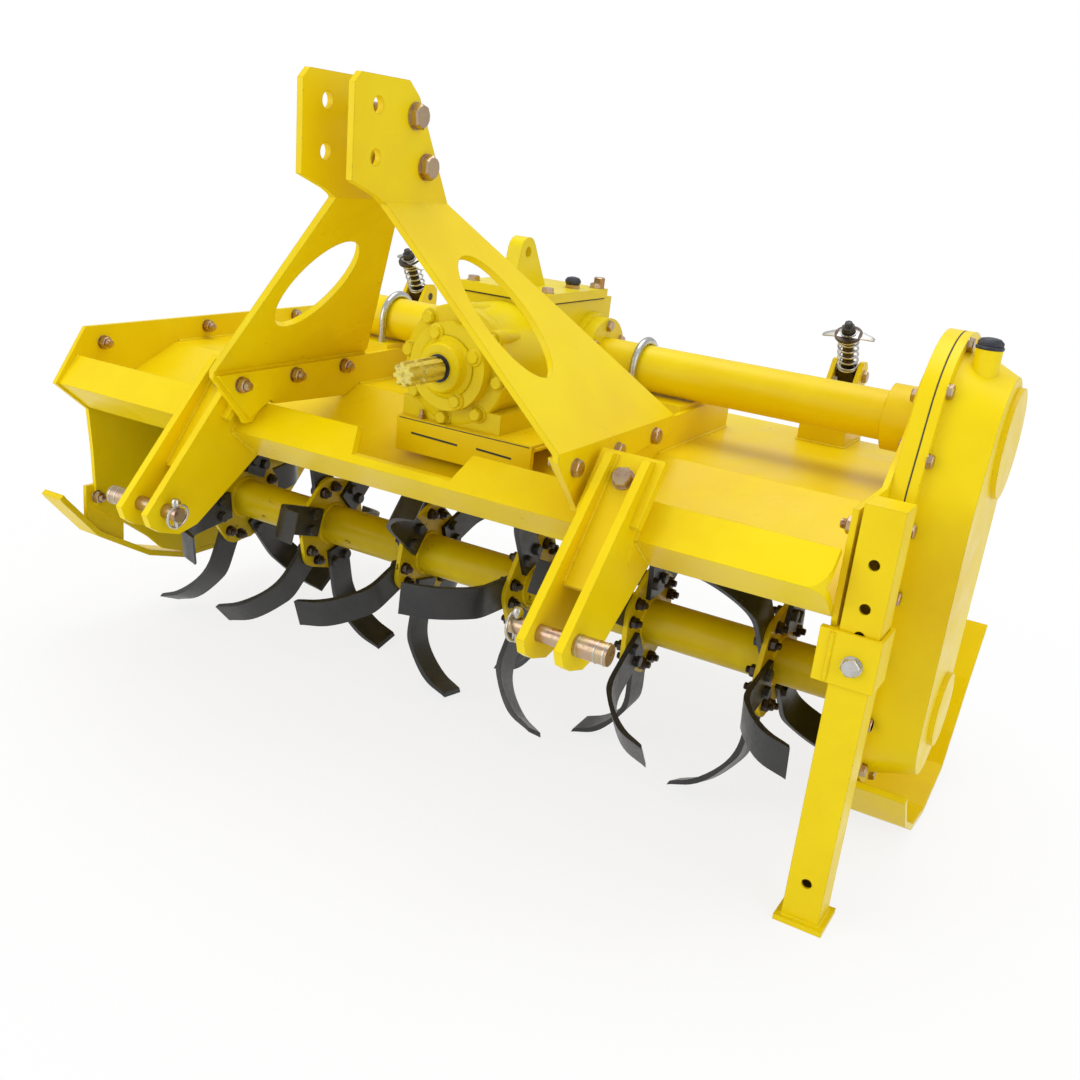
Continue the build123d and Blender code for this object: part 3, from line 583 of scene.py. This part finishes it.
def setFasteners(name, shape, spots, material, body):  # spots are (place, facing, across flats)
    mesh = bpy.data.meshes.new(name + "Points")
    mesh.from_pydata([Vector(place) * mm for place, _, _ in spots], [], [])
    mesh.attributes.new("facing", "FLOAT_VECTOR", "POINT")
    mesh.attributes.new("flats", "FLOAT", "POINT")
    facing, flats = mesh.attributes["facing"], mesh.attributes["flats"]  # looked up once both are there
    for i, (_, way, size) in enumerate(spots):
        facing.data[i].vector = way
        flats.data[i].value = size * mm
    return runTree(name, mesh, fastening, {"Fastener": shape, "Loose turn": bolts["looseTurn"]},
                   material, body)


mastBolts = {"flats": 27.0, "places": ((-386.0, 950.0), (-358.0, 892.0)), "plate": 9.0}
footBolts = {"flats": 20.0, "places": ((-341.0, 557.0), (-222.0, 559.0), (-103.0, 561.0))}
plateBolts = {"flats": 20.0, "left": ((-226.0, 538.0), (17.0, 548.0), (265.0, 552.0)),
              "right": ((-224.0, 536.0),)}
clevisBolt = {"flats": 25.0, "along": 154.0, "from": (-402.0, 426.0), "way": (0.618, 0.786)}
rimBolts = {"flats": 17.0, "spacing": 92.0, "inset": 8.5}
flangeBolts = {"flats": 19.0, "thick": 10.0, "circle": (69.0, 6, 20.0)}
# circles of bolts are (radius, count, start angle), and a step is measured from the casting's face
gearboxBolts = {"flats": 17.0, "cover": (51.0, 4, 25.0), "coverStep": 20.0, "ring": (79.0, 8, -53.0),
                "ringStep": 5.0}
sideBolts = {"flats": 15.0, "circle": (54.0, 6, 30.0)}
lidBolts = {"flats": 17.0, "inX": 14.0, "inY": 16.0, "lug": 74.0}  # the lifting lug's height over the lid
collarBolt = {"flats": 22.0, "up": 30.0}
bearingBolts = {"flats": 17.0, "circle": (40.0, 4, 45.0)}
skidBolts = {"flats": 19.0, "thick": 8.0, "right": ((-60.0, 112.0), (-76.0, 134.0)),
             "left": ((-246.0, 264.0), (-226.0, 244.0))}

heads, nuts, painted, dull = [], [], [], []
for y, z in mastBolts["places"]:
    for side, spots in ((1, heads), (-1, nuts)):
        spots.append(((side * (mastLow.x + mastBolts["plate"]), y, z), (side, 0, 0), mastBolts["flats"]))
for y, z in footBolts["places"]:
    for side in (1, -1):
        heads.append(((side * mastHigh.x, y, z), (side, 0, 0), footBolts["flats"]))
        nuts.append(((side * railLow.x, y, z), (-side, 0, 0), footBolts["flats"]))
for side, places, inside, outside in ((-1, plateBolts["left"], plateLeft[1].x, plateLeft[0].x),
                                      (1, plateBolts["right"], plateRight[0].x, plateRight[1].x)):
    for y, z in places:
        nuts.append(((inside, y, z), (-side, 0, 0), plateBolts["flats"]))
        heads.append(((outside, y, z), (side, 0, 0), plateBolts["flats"]))
for side in (1, -1):
    along, (y, z), (wy, wz) = clevisBolt["along"], clevisBolt["from"], clevisBolt["way"]
    x = middle("hitch_clevis_right").x * side
    heads.append(((x, y + wy * along, z + wz * along), (0, -wz, wy), clevisBolt["flats"]))


def hullOutline(circles, spacing):  # evenly spaced points on the hull round some circles of (y, z, radius)
    points = [(y + r * cos(t * pi / 90), z + r * sin(t * pi / 90)) for y, z, r in circles for t in range(180)]
    points.sort()
    chains = []
    for run in (points, points[::-1]):
        chain = []
        for p in run:
            while len(chain) > 1 and ((chain[-1][0] - chain[-2][0]) * (p[1] - chain[-2][1])
                                      <= (chain[-1][1] - chain[-2][1]) * (p[0] - chain[-2][0])):
                chain.pop()
            chain.append(p)
        chains += chain[:-1]
    sides = list(zip(chains, chains[1:] + chains[:1]))
    total = sum(dist(a, b) for a, b in sides)
    step, left, spots = total / round(total / spacing), 0.0, []
    for a, b in sides:
        run = dist(a, b)
        while left < run:
            spots.append((a[0] + (b[0] - a[0]) * left / run, a[1] + (b[1] - a[1]) * left / run))
            left += step
        left -= run
    return spots


caseCircles = (
    (caseRim["upper"][0], shaftAxis.z, caseRim["upper"][1]),
    (caseRim["middle"][0], shaftAxis.z - caseRim["middle"][1], caseRim["middle"][2]),
    (rotorAxis.y, rotorAxis.z, caseRim["lower"]))
for y, z in hullOutline([(y, z, r - rimBolts["inset"]) for y, z, r in caseCircles], rimBolts["spacing"]):
    heads.append(((rimFace, y, z), (1, 0, 0), rimBolts["flats"]))
flangeFace = plateRight[0].x - flangeBolts["thick"]
for y, z in onCircle(tubeAxis.y, tubeAxis.z, *flangeBolts["circle"]):
    heads.append(((flangeFace, y, z), (-1, 0, 0), flangeBolts["flats"]))
# gearbox: painted heads in front, plated ones on the sides and the lid
coverFront = ends("gearbox_front_cover")[0].y + gearboxBolts["coverStep"]
ringFront = ends("gearbox_housing")[0].y
coverPlaces = onCircle(shaftAxis.x, shaftAxis.z, *gearboxBolts["cover"])
ringPlaces = onCircle(shaftAxis.x, shaftAxis.z, *gearboxBolts["ring"])
for x, z in coverPlaces:
    painted.append(((x, coverFront, z), (0, -1, 0), gearboxBolts["flats"]))
for x, z in ringPlaces:
    painted.append(((x, ringFront - gearboxBolts["ringStep"], z), (0, -1, 0), gearboxBolts["flats"]))
for side, face in ((1, ends("side_cover_right")[1].x), (-1, ends("side_cover_left")[0].x)):
    for y, z in onCircle(tubeAxis.y, tubeAxis.z, *sideBolts["circle"]):
        heads.append(((face, y, z), (side, 0, 0), sideBolts["flats"]))
lidLow, lidHigh = ends("gearbox_top_cover")
lidTop = lidHigh.z - lidBolts["lug"]
for x in (lidLow.x + lidBolts["inX"], lidHigh.x - lidBolts["inX"]):
    for y in (lidLow.y + lidBolts["inY"], lidHigh.y - lidBolts["inY"]):
        heads.append(((x, y, lidTop), (0, 0, 1), lidBolts["flats"]))
# collar, left bearing and skids
collarLow, collarHigh = ends("leg_collar")
legMiddle = middle("stand_leg")
dull.append(((legMiddle.x, collarLow.y, collarLow.z + collarBolt["up"]), (0, -1, 0), collarBolt["flats"]))
bearingFace = ends("bearing_left")[0].x
for y, z in onCircle(rotorAxis.y, rotorAxis.z, *bearingBolts["circle"]):
    heads.append(((bearingFace, y, z), (-1, 0, 0), bearingBolts["flats"]))
for side, face, places in ((1, plateRight[1].x, skidBolts["right"]), (-1, plateLeft[0].x, skidBolts["left"])):
    for y, z in places:
        heads.append(((face + side * skidBolts["thick"], y, z), (side, 0, 0), skidBolts["flats"]))
y, z = skidBolts["left"][0]  # the other nut would stand in the blades' way
nuts.append(((plateLeft[1].x, y, z), (1, 0, 0), skidBolts["flats"]))
setFasteners("frameBoltHeads", headShape, heads, "yellowZinc", "frame")
setFasteners("frameNuts", nutShape, nuts, "yellowZinc", "frame")
setFasteners("paintedBolts", headShape, painted, "cast", "frame")
setFasteners("collarBolt", headShape, dull, "whiteZinc", "frame")

# two bolts hold each blade to its flange, the nuts on the far side
blades = {"perFlange": 6, "flanges": 6, "firstTurn": 67.0, "stepTurn": -23.3, "firstX": -592.0,
          "lastX": 488.0, "radius": 71.0, "apart": 30.0, "flats": 17.0, "half": 4.0, "thick": 8.0}
flangePlaces = [blades["firstX"] + (blades["lastX"] - blades["firstX"]) * row / (blades["flanges"] - 1)
                for row in range(blades["flanges"])]
bladeHeads, bladeNuts = [], []
for row, x in enumerate(flangePlaces):
    for i in range(blades["perFlange"]):
        side = 1 if i % 2 else -1
        turn = radians(blades["firstTurn"] + row * blades["stepTurn"] + 360.0 * i / blades["perFlange"])
        for way in (-0.5, 0.5):
            y = rotorAxis.y - blades["radius"] * cos(turn) - way * blades["apart"] * sin(turn)
            z = rotorAxis.z - blades["radius"] * sin(turn) + way * blades["apart"] * cos(turn)
            bladeHeads.append(((x + side * (blades["half"] + blades["thick"]), y, z), (side, 0, 0),
                               blades["flats"]))
            bladeNuts.append(((x - side * blades["half"], y, z), (-side, 0, 0), blades["flats"]))
setFasteners("bladeBoltHeads", headShape, bladeHeads, "nutBlack", "rotor")
setFasteners("bladeNuts", nutShape, bladeNuts, "oiledSteel", "rotor")
print("fasteners set:", len(heads) + len(nuts) + len(painted) + len(dull) + 2 * len(bladeNuts))


welds = {"bead": 3.4, "rotorBead": 3.8, "legBead": 3.0, "ripple": 3.2, "wave": 0.16, "wander": 0.6}


def weldTree():
    tree, given = newTree("weldBeads", dict.fromkeys(("Bead", "Ripple", "Wave"), "Float"))
    w = Wire(tree)
    seam = w.add("GeometryNodeMeshToCurve", {"Mesh": given["Geometry"]})
    seam = w.add("GeometryNodeResampleCurve", {"Curve": seam, "Length": given["Ripple"] / 2.0}, mode="LENGTH")
    beat = w.add("GeometryNodeInputIndex")
    beat = w.sum("MODULO", beat, 2.0)
    wander = w.add("FunctionNodeRandomValue", {2: -welds["wander"], 3: welds["wander"], "Seed": 11},
                   out=1, data_type="FLOAT")
    swell = given["Bead"] * (1.0 + given["Wave"] * (beat - 0.5 + wander))
    hoop = w.add("GeometryNodeCurvePrimitiveCircle", {"Resolution": 8, "Radius": 1.0}, mode="RADIUS")
    bead = w.add("GeometryNodeCurveToMesh", {"Curve": seam, "Profile Curve": hoop, "Scale": swell,
                                             "Fill Caps": True})
    endTree(bead, given["Material"])
    return tree


beading = weldTree()


def layWelds(name, seams, material, body, bead):
    points, edges = [], []
    for seam in seams:
        start = len(points)
        points += [Vector(point) * mm for point in seam]
        edges += [(start + i, start + i + 1) for i in range(len(seam) - 1)]
    mesh = bpy.data.meshes.new(name + "Seams")
    mesh.from_pydata(points, edges, [])
    values = {"Bead": bead * mm, "Ripple": welds["ripple"] * mm, "Wave": welds["wave"]}
    return runTree(name, mesh, beading, values, material, body, 60.0)


def ringSeam(x, y, z, radius, sides=40):
    places = onCircle(y, z, radius, sides)
    return [(x, *place) for place in places + places[:1]]


def levelSeam(z, *places):
    return [(x, y, z) for x, y in places]


clevisSeams = {"outer": 32.0, "inner": 20.0, "web": ((-400.0, 428.0), (-288.0, 571.0)),
               "beam": (((-319.0, 476.0), (-281.0, 521.0)), ((-319.0, 476.0), (-266.0, 433.0)))}
tubeSeams = ((54.0, 37.5), (10.5, 49.5))  # in from the right plate, and radius
deckSeams = {"rail": (-60.0, 213.0), "plate": (-55.0, 320.0), "base": 4.0, "bracket": 20.0}
beamEnd = ((-316.0, 477.0), (-279.0, 521.0))
collarSeam = {"in": 16.5, "short": 3.0}
seams = []
clevisX = middle("hitch_clevis_right").x
for side in (1, -1):
    for ear in (-clevisSeams["outer"], -clevisSeams["inner"], clevisSeams["inner"], clevisSeams["outer"]):
        for path in clevisSeams["beam"] if abs(ear) == clevisSeams["outer"] else (clevisSeams["web"],):
            seams.append([(side * clevisX + ear, y, z) for y, z in path])
for inward, radius in tubeSeams:
    seams.append(ringSeam(plateRight[0].x - inward, tubeAxis.y, tubeAxis.z, radius))
baseLow, baseHigh = ends("gearbox_base")
baseFront = baseLow.y + deckSeams["base"]
seams.append(levelSeam(deckTop, (baseLow.x, baseFront), (baseLow.x, baseHigh.y), (baseHigh.x, baseHigh.y),
                       (baseHigh.x, baseFront)))
for name in ("rod_bracket_left", "rod_bracket_right"):
    low, high = ends(name)
    back = high.y - deckSeams["bracket"]
    seams.append(levelSeam(deckTop, (low.x, back), (low.x, low.y), (high.x, low.y), (high.x, back)))
for name in ("tube_saddle_left", "tube_saddle_right"):
    low, high = ends(name)
    seams.append(levelSeam(deckTop, (low.x, low.y), (high.x, low.y)))
for x in (railLow.x, railHigh.x, -railLow.x, -railHigh.x):
    seams.append(levelSeam(deckTop, *((x, y) for y in deckSeams["rail"])))
for x in (plateLeft[1].x, plateRight[0].x):
    seams.append(levelSeam(deckTop, *((x, y) for y in deckSeams["plate"])))
seams.append([(plateLeft[1].x, y, z) for y, z in beamEnd])
seams.append([(collarLow.x + collarSeam["in"], collarLow.y, z)
              for z in (collarLow.z + collarSeam["short"], collarHigh.z - collarSeam["short"])])
layWelds("frameWelds", seams, "plate", "frame", welds["bead"])
rotorRing = {"off": 0.5, "radius": 37.0}  # beads on both sides of each flange
off = blades["half"] + rotorRing["off"]
rotorSeams = [ringSeam(x + side * off, rotorAxis.y, rotorAxis.z, rotorRing["radius"])
              for x in flangePlaces for side in (-1, 1)]
layWelds("rotorWelds", rotorSeams, "plate", "rotor", welds["rotorBead"])
leg = {"half": 25.0, "foot": 8.0}
footTop = ends("stand_leg")[0].z + leg["foot"]
corners = [(legMiddle.x + x * leg["half"], legMiddle.y + y * leg["half"])
           for x, y in ((-1, -1), (1, -1), (1, 1), (-1, 1), (-1, -1))]
layWelds("legWelds", [levelSeam(footTop, *corners)], "plate", "stand", welds["legBead"])
print("weld beads laid:", len(seams) + len(rotorSeams) + 1)


spline = {"teeth": 8, "outer": 17.5, "root": 13.6, "toothShare": 0.5, "chamfer": 1.6, "groove": 24.0,
          "grooveSteps": (2.5, 7.5, 10.0), "grooveDepth": 1.0, "splinesEnd": 78.0, "plainStart": 84.0,
          "plainDepth": 0.4, "centre": 3.4, "centreDepth": 5.0}


def splineRing(y, shrink, flat=False, look=spline):
    ring = []
    teeth = look["teeth"]
    for i in range(teeth):
        start = 2 * pi * i / teeth
        width = 2 * pi / teeth * look["toothShare"]
        rest = 2 * pi / teeth - width
        outer = look["root"] if flat else look["outer"]
        for share in (0.02, 0.25, 0.5, 0.75, 0.98):
            ring.append((start + width * share, outer))
        for share in (0.06, 0.5, 0.94):
            ring.append((start + width + rest * share, look["root"]))
    return [Vector((shaftAxis.x + (r - shrink) * cos(turn), y, shaftAxis.z + (r - shrink) * sin(turn)))
            for turn, r in ring]


shaftLow, shaftHigh = ends("pto_shaft")
tip = shaftLow.y
groove = tip + spline["groove"]
grooveFloor, grooveBack, grooveEnd = (groove + step for step in spline["grooveSteps"])
bm = bmesh.new()
made = skin(bm, [
    splineRing(tip, spline["chamfer"]), splineRing(tip + spline["chamfer"], 0.0),
    splineRing(groove, 0.0), splineRing(grooveFloor, spline["grooveDepth"], True),
    splineRing(grooveBack, spline["grooveDepth"], True), splineRing(grooveEnd, 0.0),
    splineRing(tip + spline["splinesEnd"], 0.0),
    splineRing(tip + spline["plainStart"], spline["plainDepth"], True),
    splineRing(shaftHigh.y, spline["plainDepth"], True)], capped=False)
bm.faces.new(made[-1])
# the end face runs in to a small turned centre
count = len(made[0])
inner = [bm.verts.new((x, tip, z)) for x, z in onCircle(shaftAxis.x, shaftAxis.z, spline["centre"], count)]
deep = bm.verts.new((shaftAxis.x, tip + spline["centreDepth"], shaftAxis.z))
for i in range(count):
    j = (i + 1) % count
    bm.faces.new((made[0][j], made[0][i], inner[i], inner[j]))
    bm.faces.new((inner[j], inner[i], deep))
shaft = finishPiece("splinedShaft", bm, "oversprayed", "input_shaft", 0.0, 24.0)
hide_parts("pto_shaft")


# turned shapes as (radius, height) pairs, and the ribs as (in from the front, up from the foot)
casting = {
    "seal": ((17.8, 1.4), (20.2, 1.4), (21.4, 0.4), (21.4, -1.2), (17.8, -1.2)),
    "ringBoss": ((12.0, 0.0), (13.5, -1.5), (14.5, -16.0), (9.45, -60.0), (2.0, -78.0)), "ringStep": 4.0,
    "coverBoss": ((11.5, 2.0), (13.0, 0.5), (14.0, -20.0), (13.0, -20.5)), "coverStep": 2.0,
    "hub": ((21.6, 1.2), (23.0, 2.2), (33.0, 2.2), (35.5, -0.4), (36.0, -8.0), (38.5, -14.0), (46.0, -18.5),
            (21.6, -19.5)),
    "rim": ((80.0, 2.0), (86.0, 1.0), (88.5, -3.0), (88.5, -16.0), (86.5, -22.0), (80.0, -24.0)),
    "ribs": (-52.0, 0.0, 52.0), "ribHalf": 4.0, "rib": ((6.0, 30.0), (60.0, 30.0), (60.0, 52.0), (6.0, 40.0)),
}
forwards = (0, -1, 0)
hubSpot = aim((shaftAxis.x, ends("gearbox_front_cover")[0].y, shaftAxis.z), forwards)
bm = bmesh.new()
lathe(bm, casting["seal"], hubSpot, 40)
finishPiece("shaftSeal", bm, "capBlack", "frame")
bm = bmesh.new()
for x, z in ringPlaces:
    lathe(bm, casting["ringBoss"], aim((x, ringFront - casting["ringStep"], z), forwards), 20)
for x, z in coverPlaces:
    lathe(bm, casting["coverBoss"], aim((x, coverFront - casting["coverStep"], z), forwards), 20)
lathe(bm, casting["hub"], hubSpot, 48)
finishPiece("gearboxBosses", bm, "cast", "frame", 0.8)
# ribs between the front drum and the foot, and the drum's rolled rim
bm = bmesh.new()
houseLow, houseHigh = ends("gearbox_housing")
for x in casting["ribs"]:
    skin(bm, [[Vector((side, ringFront + y, houseLow.z + z)) for y, z in casting["rib"]]
              for side in (x - casting["ribHalf"], x + casting["ribHalf"])])
lathe(bm, casting["rim"], aim((shaftAxis.x, ringFront, shaftAxis.z), forwards), 64)
finishPiece("gearboxRibs", bm, "cast", "frame", 1.2)
print("gearbox dressed")


caps = {
    "neck": (30.0, -2.0, 126.0),  # out from the rim, back, and up from the shaft
    "neckRing": ((12.0, -0.5), (17.6, -0.5), (18.2, 0.8), (18.2, 3.0), (17.0, 4.0), (12.0, 4.0)),
    "neckHex": ((29.0, 3.8), (29.0, 9.0)), "neckTop": ((12.4, 13.0), (7.0, 14.2)),
    "plugCap": ((6.0, -1.0), (10.5, -1.0), (12.5, 1.0), (12.5, 5.0), (9.5, 9.0), (4.0, 10.5)),
    "plugCapUp": 7.0,
    "plugs": ((30.0, 66.0, 22.0, 6.5), (11.0, 12.0, 17.0, 17.0)),  # in, forward, flats and height on the lid
}
bm = bmesh.new()
out, back, up = caps["neck"]
spot = aim((rimFace + out, back, shaftAxis.z + up), (0, 0, 1))
lathe(bm, caps["neckRing"], spot, 32)
hexStack(bm, caps["neckHex"], caps["neckTop"], spot)
plugIn, plugForward = caps["plugs"][0][:2]
lathe(bm, caps["plugCap"],
      aim((lidHigh.x - plugIn, lidHigh.y - plugForward, lidTop + caps["plugCapUp"]), (0, 0, 1)), 24)
finishPiece("fillerCaps", bm, "capBlack", "frame", 0.5)
bm = bmesh.new()
for inward, forward, flats, tall in caps["plugs"]:
    hexStack(bm, ((flats, 0.0), (flats, tall - 1.2)), ((flats * 0.46, tall), (4.0, tall)),
             aim((lidHigh.x - inward, lidHigh.y - forward, lidTop), (0, 0, 1)))
finishPiece("lidPlugs", bm, "yellowZinc", "frame")


# sprung rods of the levelling board: wound springs, spread washers, nuts and eye bolts
boardRods = {"turns": 6.5, "wire": 3.6, "coil": 15.6, "from": 13.5, "to": 75.0, "seat": 2.4, "fromEnd": 22.0,
             "eye": (493.0, 362.0), "eyeFlats": 17.0, "nutFlats": 19.0}
wings = {"up": 82.0, "span": 42.0, "width": 12.0, "drop": 8.0, "thick": 1.8, "turn": 12.0, "offTurn": 8.0,
         "collar": ((8.0, 1.0), (13.0, 1.6), (13.0, 3.4), (8.0, 3.4))}
yokeY, yokeZ = (value / mm for value in joints["rod_swing"]["pos_m"][1:])
rodWay = -Vector(joints["rod_slide"]["axis"])
rodLow, rodHigh = ends("spring_rods")
rodX = (rodHigh.x - rodLow.x) / 2 - boardRods["fromEnd"]
rodMiddle = (rodHigh.x + rodLow.x) / 2


def alongRod(side, distance):
    return Vector((rodMiddle + side * rodX, yokeY, yokeZ)) + rodWay * distance


def springTree():
    tree, given = newTree("woundSprings", dict.fromkeys(("Turns", "Coil", "Length", "Wire"), "Float"))
    w = Wire(tree)
    coil = w.add("GeometryNodeCurveSpiral", {
        "Resolution": 28, "Rotations": given["Turns"], "Start Radius": given["Coil"],
        "End Radius": given["Coil"], "Height": 0.0})
    along = w.add("GeometryNodeSplineParameter", out="Factor")
    flat = 0.9 / given["Turns"]
    rise = along.ramp(flat, 1.0 - flat)  # the end turns lie flat
    height = (along * 0.12 + rise * 0.88) * given["Length"]
    lift = w.add("ShaderNodeCombineXYZ", {"X": 0.0, "Y": 0.0, "Z": height})
    coil = w.add("GeometryNodeSetPosition", {"Geometry": coil, "Offset": lift})
    hoop = w.add("GeometryNodeCurvePrimitiveCircle", {"Resolution": 10, "Radius": given["Wire"] / 2.0},
                 mode="RADIUS")
    wound = w.add("GeometryNodeCurveToMesh", {"Curve": coil, "Profile Curve": hoop, "Fill Caps": True})
    placed = w.add("GeometryNodeInstanceOnPoints", {"Points": given["Geometry"], "Instance": wound,
                                                    "Rotation": uprightTurn(w)})
    endTree(placed, given["Material"])
    return tree


mesh = bpy.data.meshes.new("springPoints")
mesh.from_pydata([alongRod(side, boardRods["from"] + boardRods["seat"]) * mm for side in (-1, 1)], [], [])
mesh.attributes.new("facing", "FLOAT_VECTOR", "POINT")
for i in range(2):
    mesh.attributes["facing"].data[i].vector = rodWay
springs = runTree("woundSprings", mesh, springTree(), {
    "Turns": boardRods["turns"], "Coil": boardRods["coil"] * mm, "Wire": boardRods["wire"] * mm,
    "Length": (boardRods["to"] - boardRods["from"] - 2 * boardRods["seat"]) * mm},
    "springWire", "swivels", 60.0)
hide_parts("rod_springs")


def wingWasher(bm, place, look):
    rings = []
    for i in range(-12, 13):
        share = i / 12
        x = look["span"] * share
        narrow = 1.0 - 0.66 * abs(share) ** 1.4 if abs(share) < 0.99 else 0.24
        half, drop, top = look["width"] * narrow, -look["drop"] * abs(share) ** 1.6, look["thick"]
        edge = ((-half, 0), (half, 0), (half, top), (-half, top))
        rings.append([place @ Vector((x, y, drop + z)) for y, z in edge])
    skin(bm, rings)


bm = bmesh.new()
for side in (-1, 1):
    spot = aim(alongRod(side, wings["up"]), rodWay)
    wingWasher(bm, spot @ Matrix.Rotation(radians(wings["turn"] * side - wings["offTurn"]), 4, "Z"), wings)
    lathe(bm, wings["collar"], spot)
finishPiece("wingWashers", bm, "whiteZinc", "rods", 0.5)
nutUp = wings["up"] + wings["collar"][-1][1]
rodNuts = [(alongRod(side, nutUp), rodWay, boardRods["nutFlats"]) for side in (-1, 1)]
eyeHeads = [((end.x, *boardRods["eye"]), (-1 if end.x < 0 else 1, 0, 0), boardRods["eyeFlats"])
            for end in (rodLow, rodHigh)]
swivelHeads = [((end.x, yokeY, yokeZ), (-1 if end.x < 0 else 1, 0, 0), boardRods["eyeFlats"])
               for end in ends("rod_swivels")]
setFasteners("rodNuts", nutShape, rodNuts, "nutBlack", "rods")
setFasteners("rodEyeBolts", headShape, eyeHeads, "yellowZinc", "rods")
setFasteners("swivelBolts", headShape, swivelHeads, "yellowZinc", "swivels")
for source in (headShape, nutShape):  # only the fasteners' patterns, so they don't stay
    bpy.data.objects.remove(source)
print("board rods dressed")


def wireAlong(bm, points, radius, sides=10, closed=False):  # a round wire through some points
    points = [Vector(point) for point in points]
    count = len(points)
    rings, normal = [], None
    for i, point in enumerate(points):
        before = points[i - 1] if i or closed else point
        after = points[(i + 1) % count] if i < count - 1 or closed else point
        ahead = (after - before).normalized()
        if normal is None:
            normal = ahead.orthogonal().normalized()
        normal = (normal - ahead * normal.dot(ahead)).normalized()
        across = ahead.cross(normal)
        rings.append([point + radius * (cos(2 * pi * j / sides) * normal + sin(2 * pi * j / sides) * across)
                      for j in range(sides)])
    skin(bm, rings, capped=not closed, looped=closed)


# a lynch pin and its ring hold each lower hitch pin
lynch = {"ring": 19.0, "wire": 2.1, "beads": 36, "drop": 2.5, "aside": 4.0, "inFromEnd": 8.0, "lean": 24.0,
         "sink": 0.35, "bands": (4.0, 16.0, 40.0),
         "pin": ((1.5, -23.0), (3.4, -20.0), (4.2, -17.0), (4.2, 11.5), (7.0, 12.5), (7.0, 20.0), (5.2, 23.0),
                 (1.5, 23.8)),
         "band": ((12.0, -1.2), (14.5, -1.0), (14.7, 0.0), (14.5, 1.0), (12.0, 1.2))}
bm = bmesh.new()
for side in (-1, 1):
    low, high = ends("hitch_pin_left" if side < 0 else "hitch_pin_right")
    innerX, sleeveX = (high.x, low.x) if side < 0 else (low.x, high.x)
    y, z = (low.y + high.y) / 2, (low.z + high.z) / 2
    x = innerX + side * lynch["inFromEnd"]
    lathe(bm, lynch["pin"], Matrix.Translation((x, y, z)), 18)
    lean = radians(lynch["lean"]) * -side
    loop = []
    for across, up in onCircle(0.0, 0.0, lynch["ring"], lynch["beads"], 90.0):
        up -= lynch["drop"]
        leanX = x - side * lynch["aside"] + up * sin(lean) * lynch["sink"]
        loop.append((leanX, y - across, z + up * cos(lean)))
    wireAlong(bm, loop, lynch["wire"], 10, True)
    for step in lynch["bands"]:  # shallow bands turned on the thick outer sleeve
        lathe(bm, lynch["band"], aim((sleeveX - side * step, y, z), (side, 0, 0)), 32)
finishPiece("lynchPins", bm, "springWire", "frame")


# painted shade: dark strips put where the gaps under the gearbox, under its lid and along the base's front lie in
# shade
shadeStrips = {"slots": ((-58.0, 25.0), (58.0, 118.0)), "slotLow": 507.0, "slotHigh": 510.0, "slope": 2.0,
             "edgeIn": 4.0, "edgeLow": 3.2, "edgeHigh": 1.8, "lidIn": 2.8, "footIn": 13.0, "footBack": 58.0}


def oblong(low, high, inward):  # a rectangle in plan, set in from two corners of a box
    return [(low.x + inward, low.y + inward), (high.x - inward, low.y + inward),
            (high.x - inward, high.y - inward), (low.x + inward, high.y - inward)]


def frontShadeStrip(bm, outline, proud):  # painted shade: a thin dark plate just proud of the base's front, for the shade in a gap or slot
    skin(bm, [[Vector((x, baseLow.y + y, z)) for x, z in outline] for y in (-proud, 2.0)])


bm = bmesh.new()
# painted shade in the base's front slots and along its top edge
low, high, slope = shadeStrips["slotLow"], shadeStrips["slotHigh"], shadeStrips["slope"]
for first, last in shadeStrips["slots"]:
    frontShadeStrip(bm, [(first, low), (last, low - slope), (last, high - slope), (first, high)], 0.4)
first, last = baseLow.x + shadeStrips["edgeIn"], baseHigh.x - shadeStrips["edgeIn"]
low, high = baseHigh.z - shadeStrips["edgeLow"], baseHigh.z - shadeStrips["edgeHigh"]
frontShadeStrip(bm, [(first, low), (last, low), (last, high), (first, high)], 0.3)
# painted shade in the gap under the lid
prism(bm, oblong(lidLow, lidHigh, shadeStrips["lidIn"]), lidLow.z - 2.4, lidLow.z + 0.4)
# painted shade in the gap under the gearbox's foot
inset = Vector((shadeStrips["footIn"], 0.0, 0.0))
footFront = Vector((houseLow.x, ringFront + shadeStrips["footBack"], 0.0))
prism(bm, oblong(footFront + inset, houseHigh - inset, 0.0), houseLow.z - 0.2, houseLow.z + 1.4)
finishPiece("darkJoints", bm, "gasketAndGapShade", "frame")


# greasing nipples on the left bearing, the gearbox's base and the board's hinges
nipple = {"hexes": ((9.0, -1.0), (9.0, 5.0)), "stem": ((3.0, 6.0), (2.4, 9.0), (3.3, 10.5), (2.2, 13.5)),
          "bearing": (-737.0, 40.0), "base": (-48.0, 10.0), "hinges": (-559.0, -20.5, 518.0),
          "hinge": (420.0, 484.0)}
nipples = [((nipple["bearing"][0], rotorAxis.y, rotorAxis.z + nipple["bearing"][1]), (-0.6, 0.0, 0.8)),
           ((nipple["base"][0], baseLow.y + nipple["base"][1], baseHigh.z), (0.0, 0.0, 1.0))]
nipples += [((x, *nipple["hinge"]), (0.0, -0.2, 0.98)) for x in nipple["hinges"]]
bm = bmesh.new()
for place, way in nipples:
    hexStack(bm, nipple["hexes"], nipple["stem"], aim(place, way))
finishPiece("greaseNipples", bm, "yellowZinc", "frame")
print("pins, joints and small fittings made")
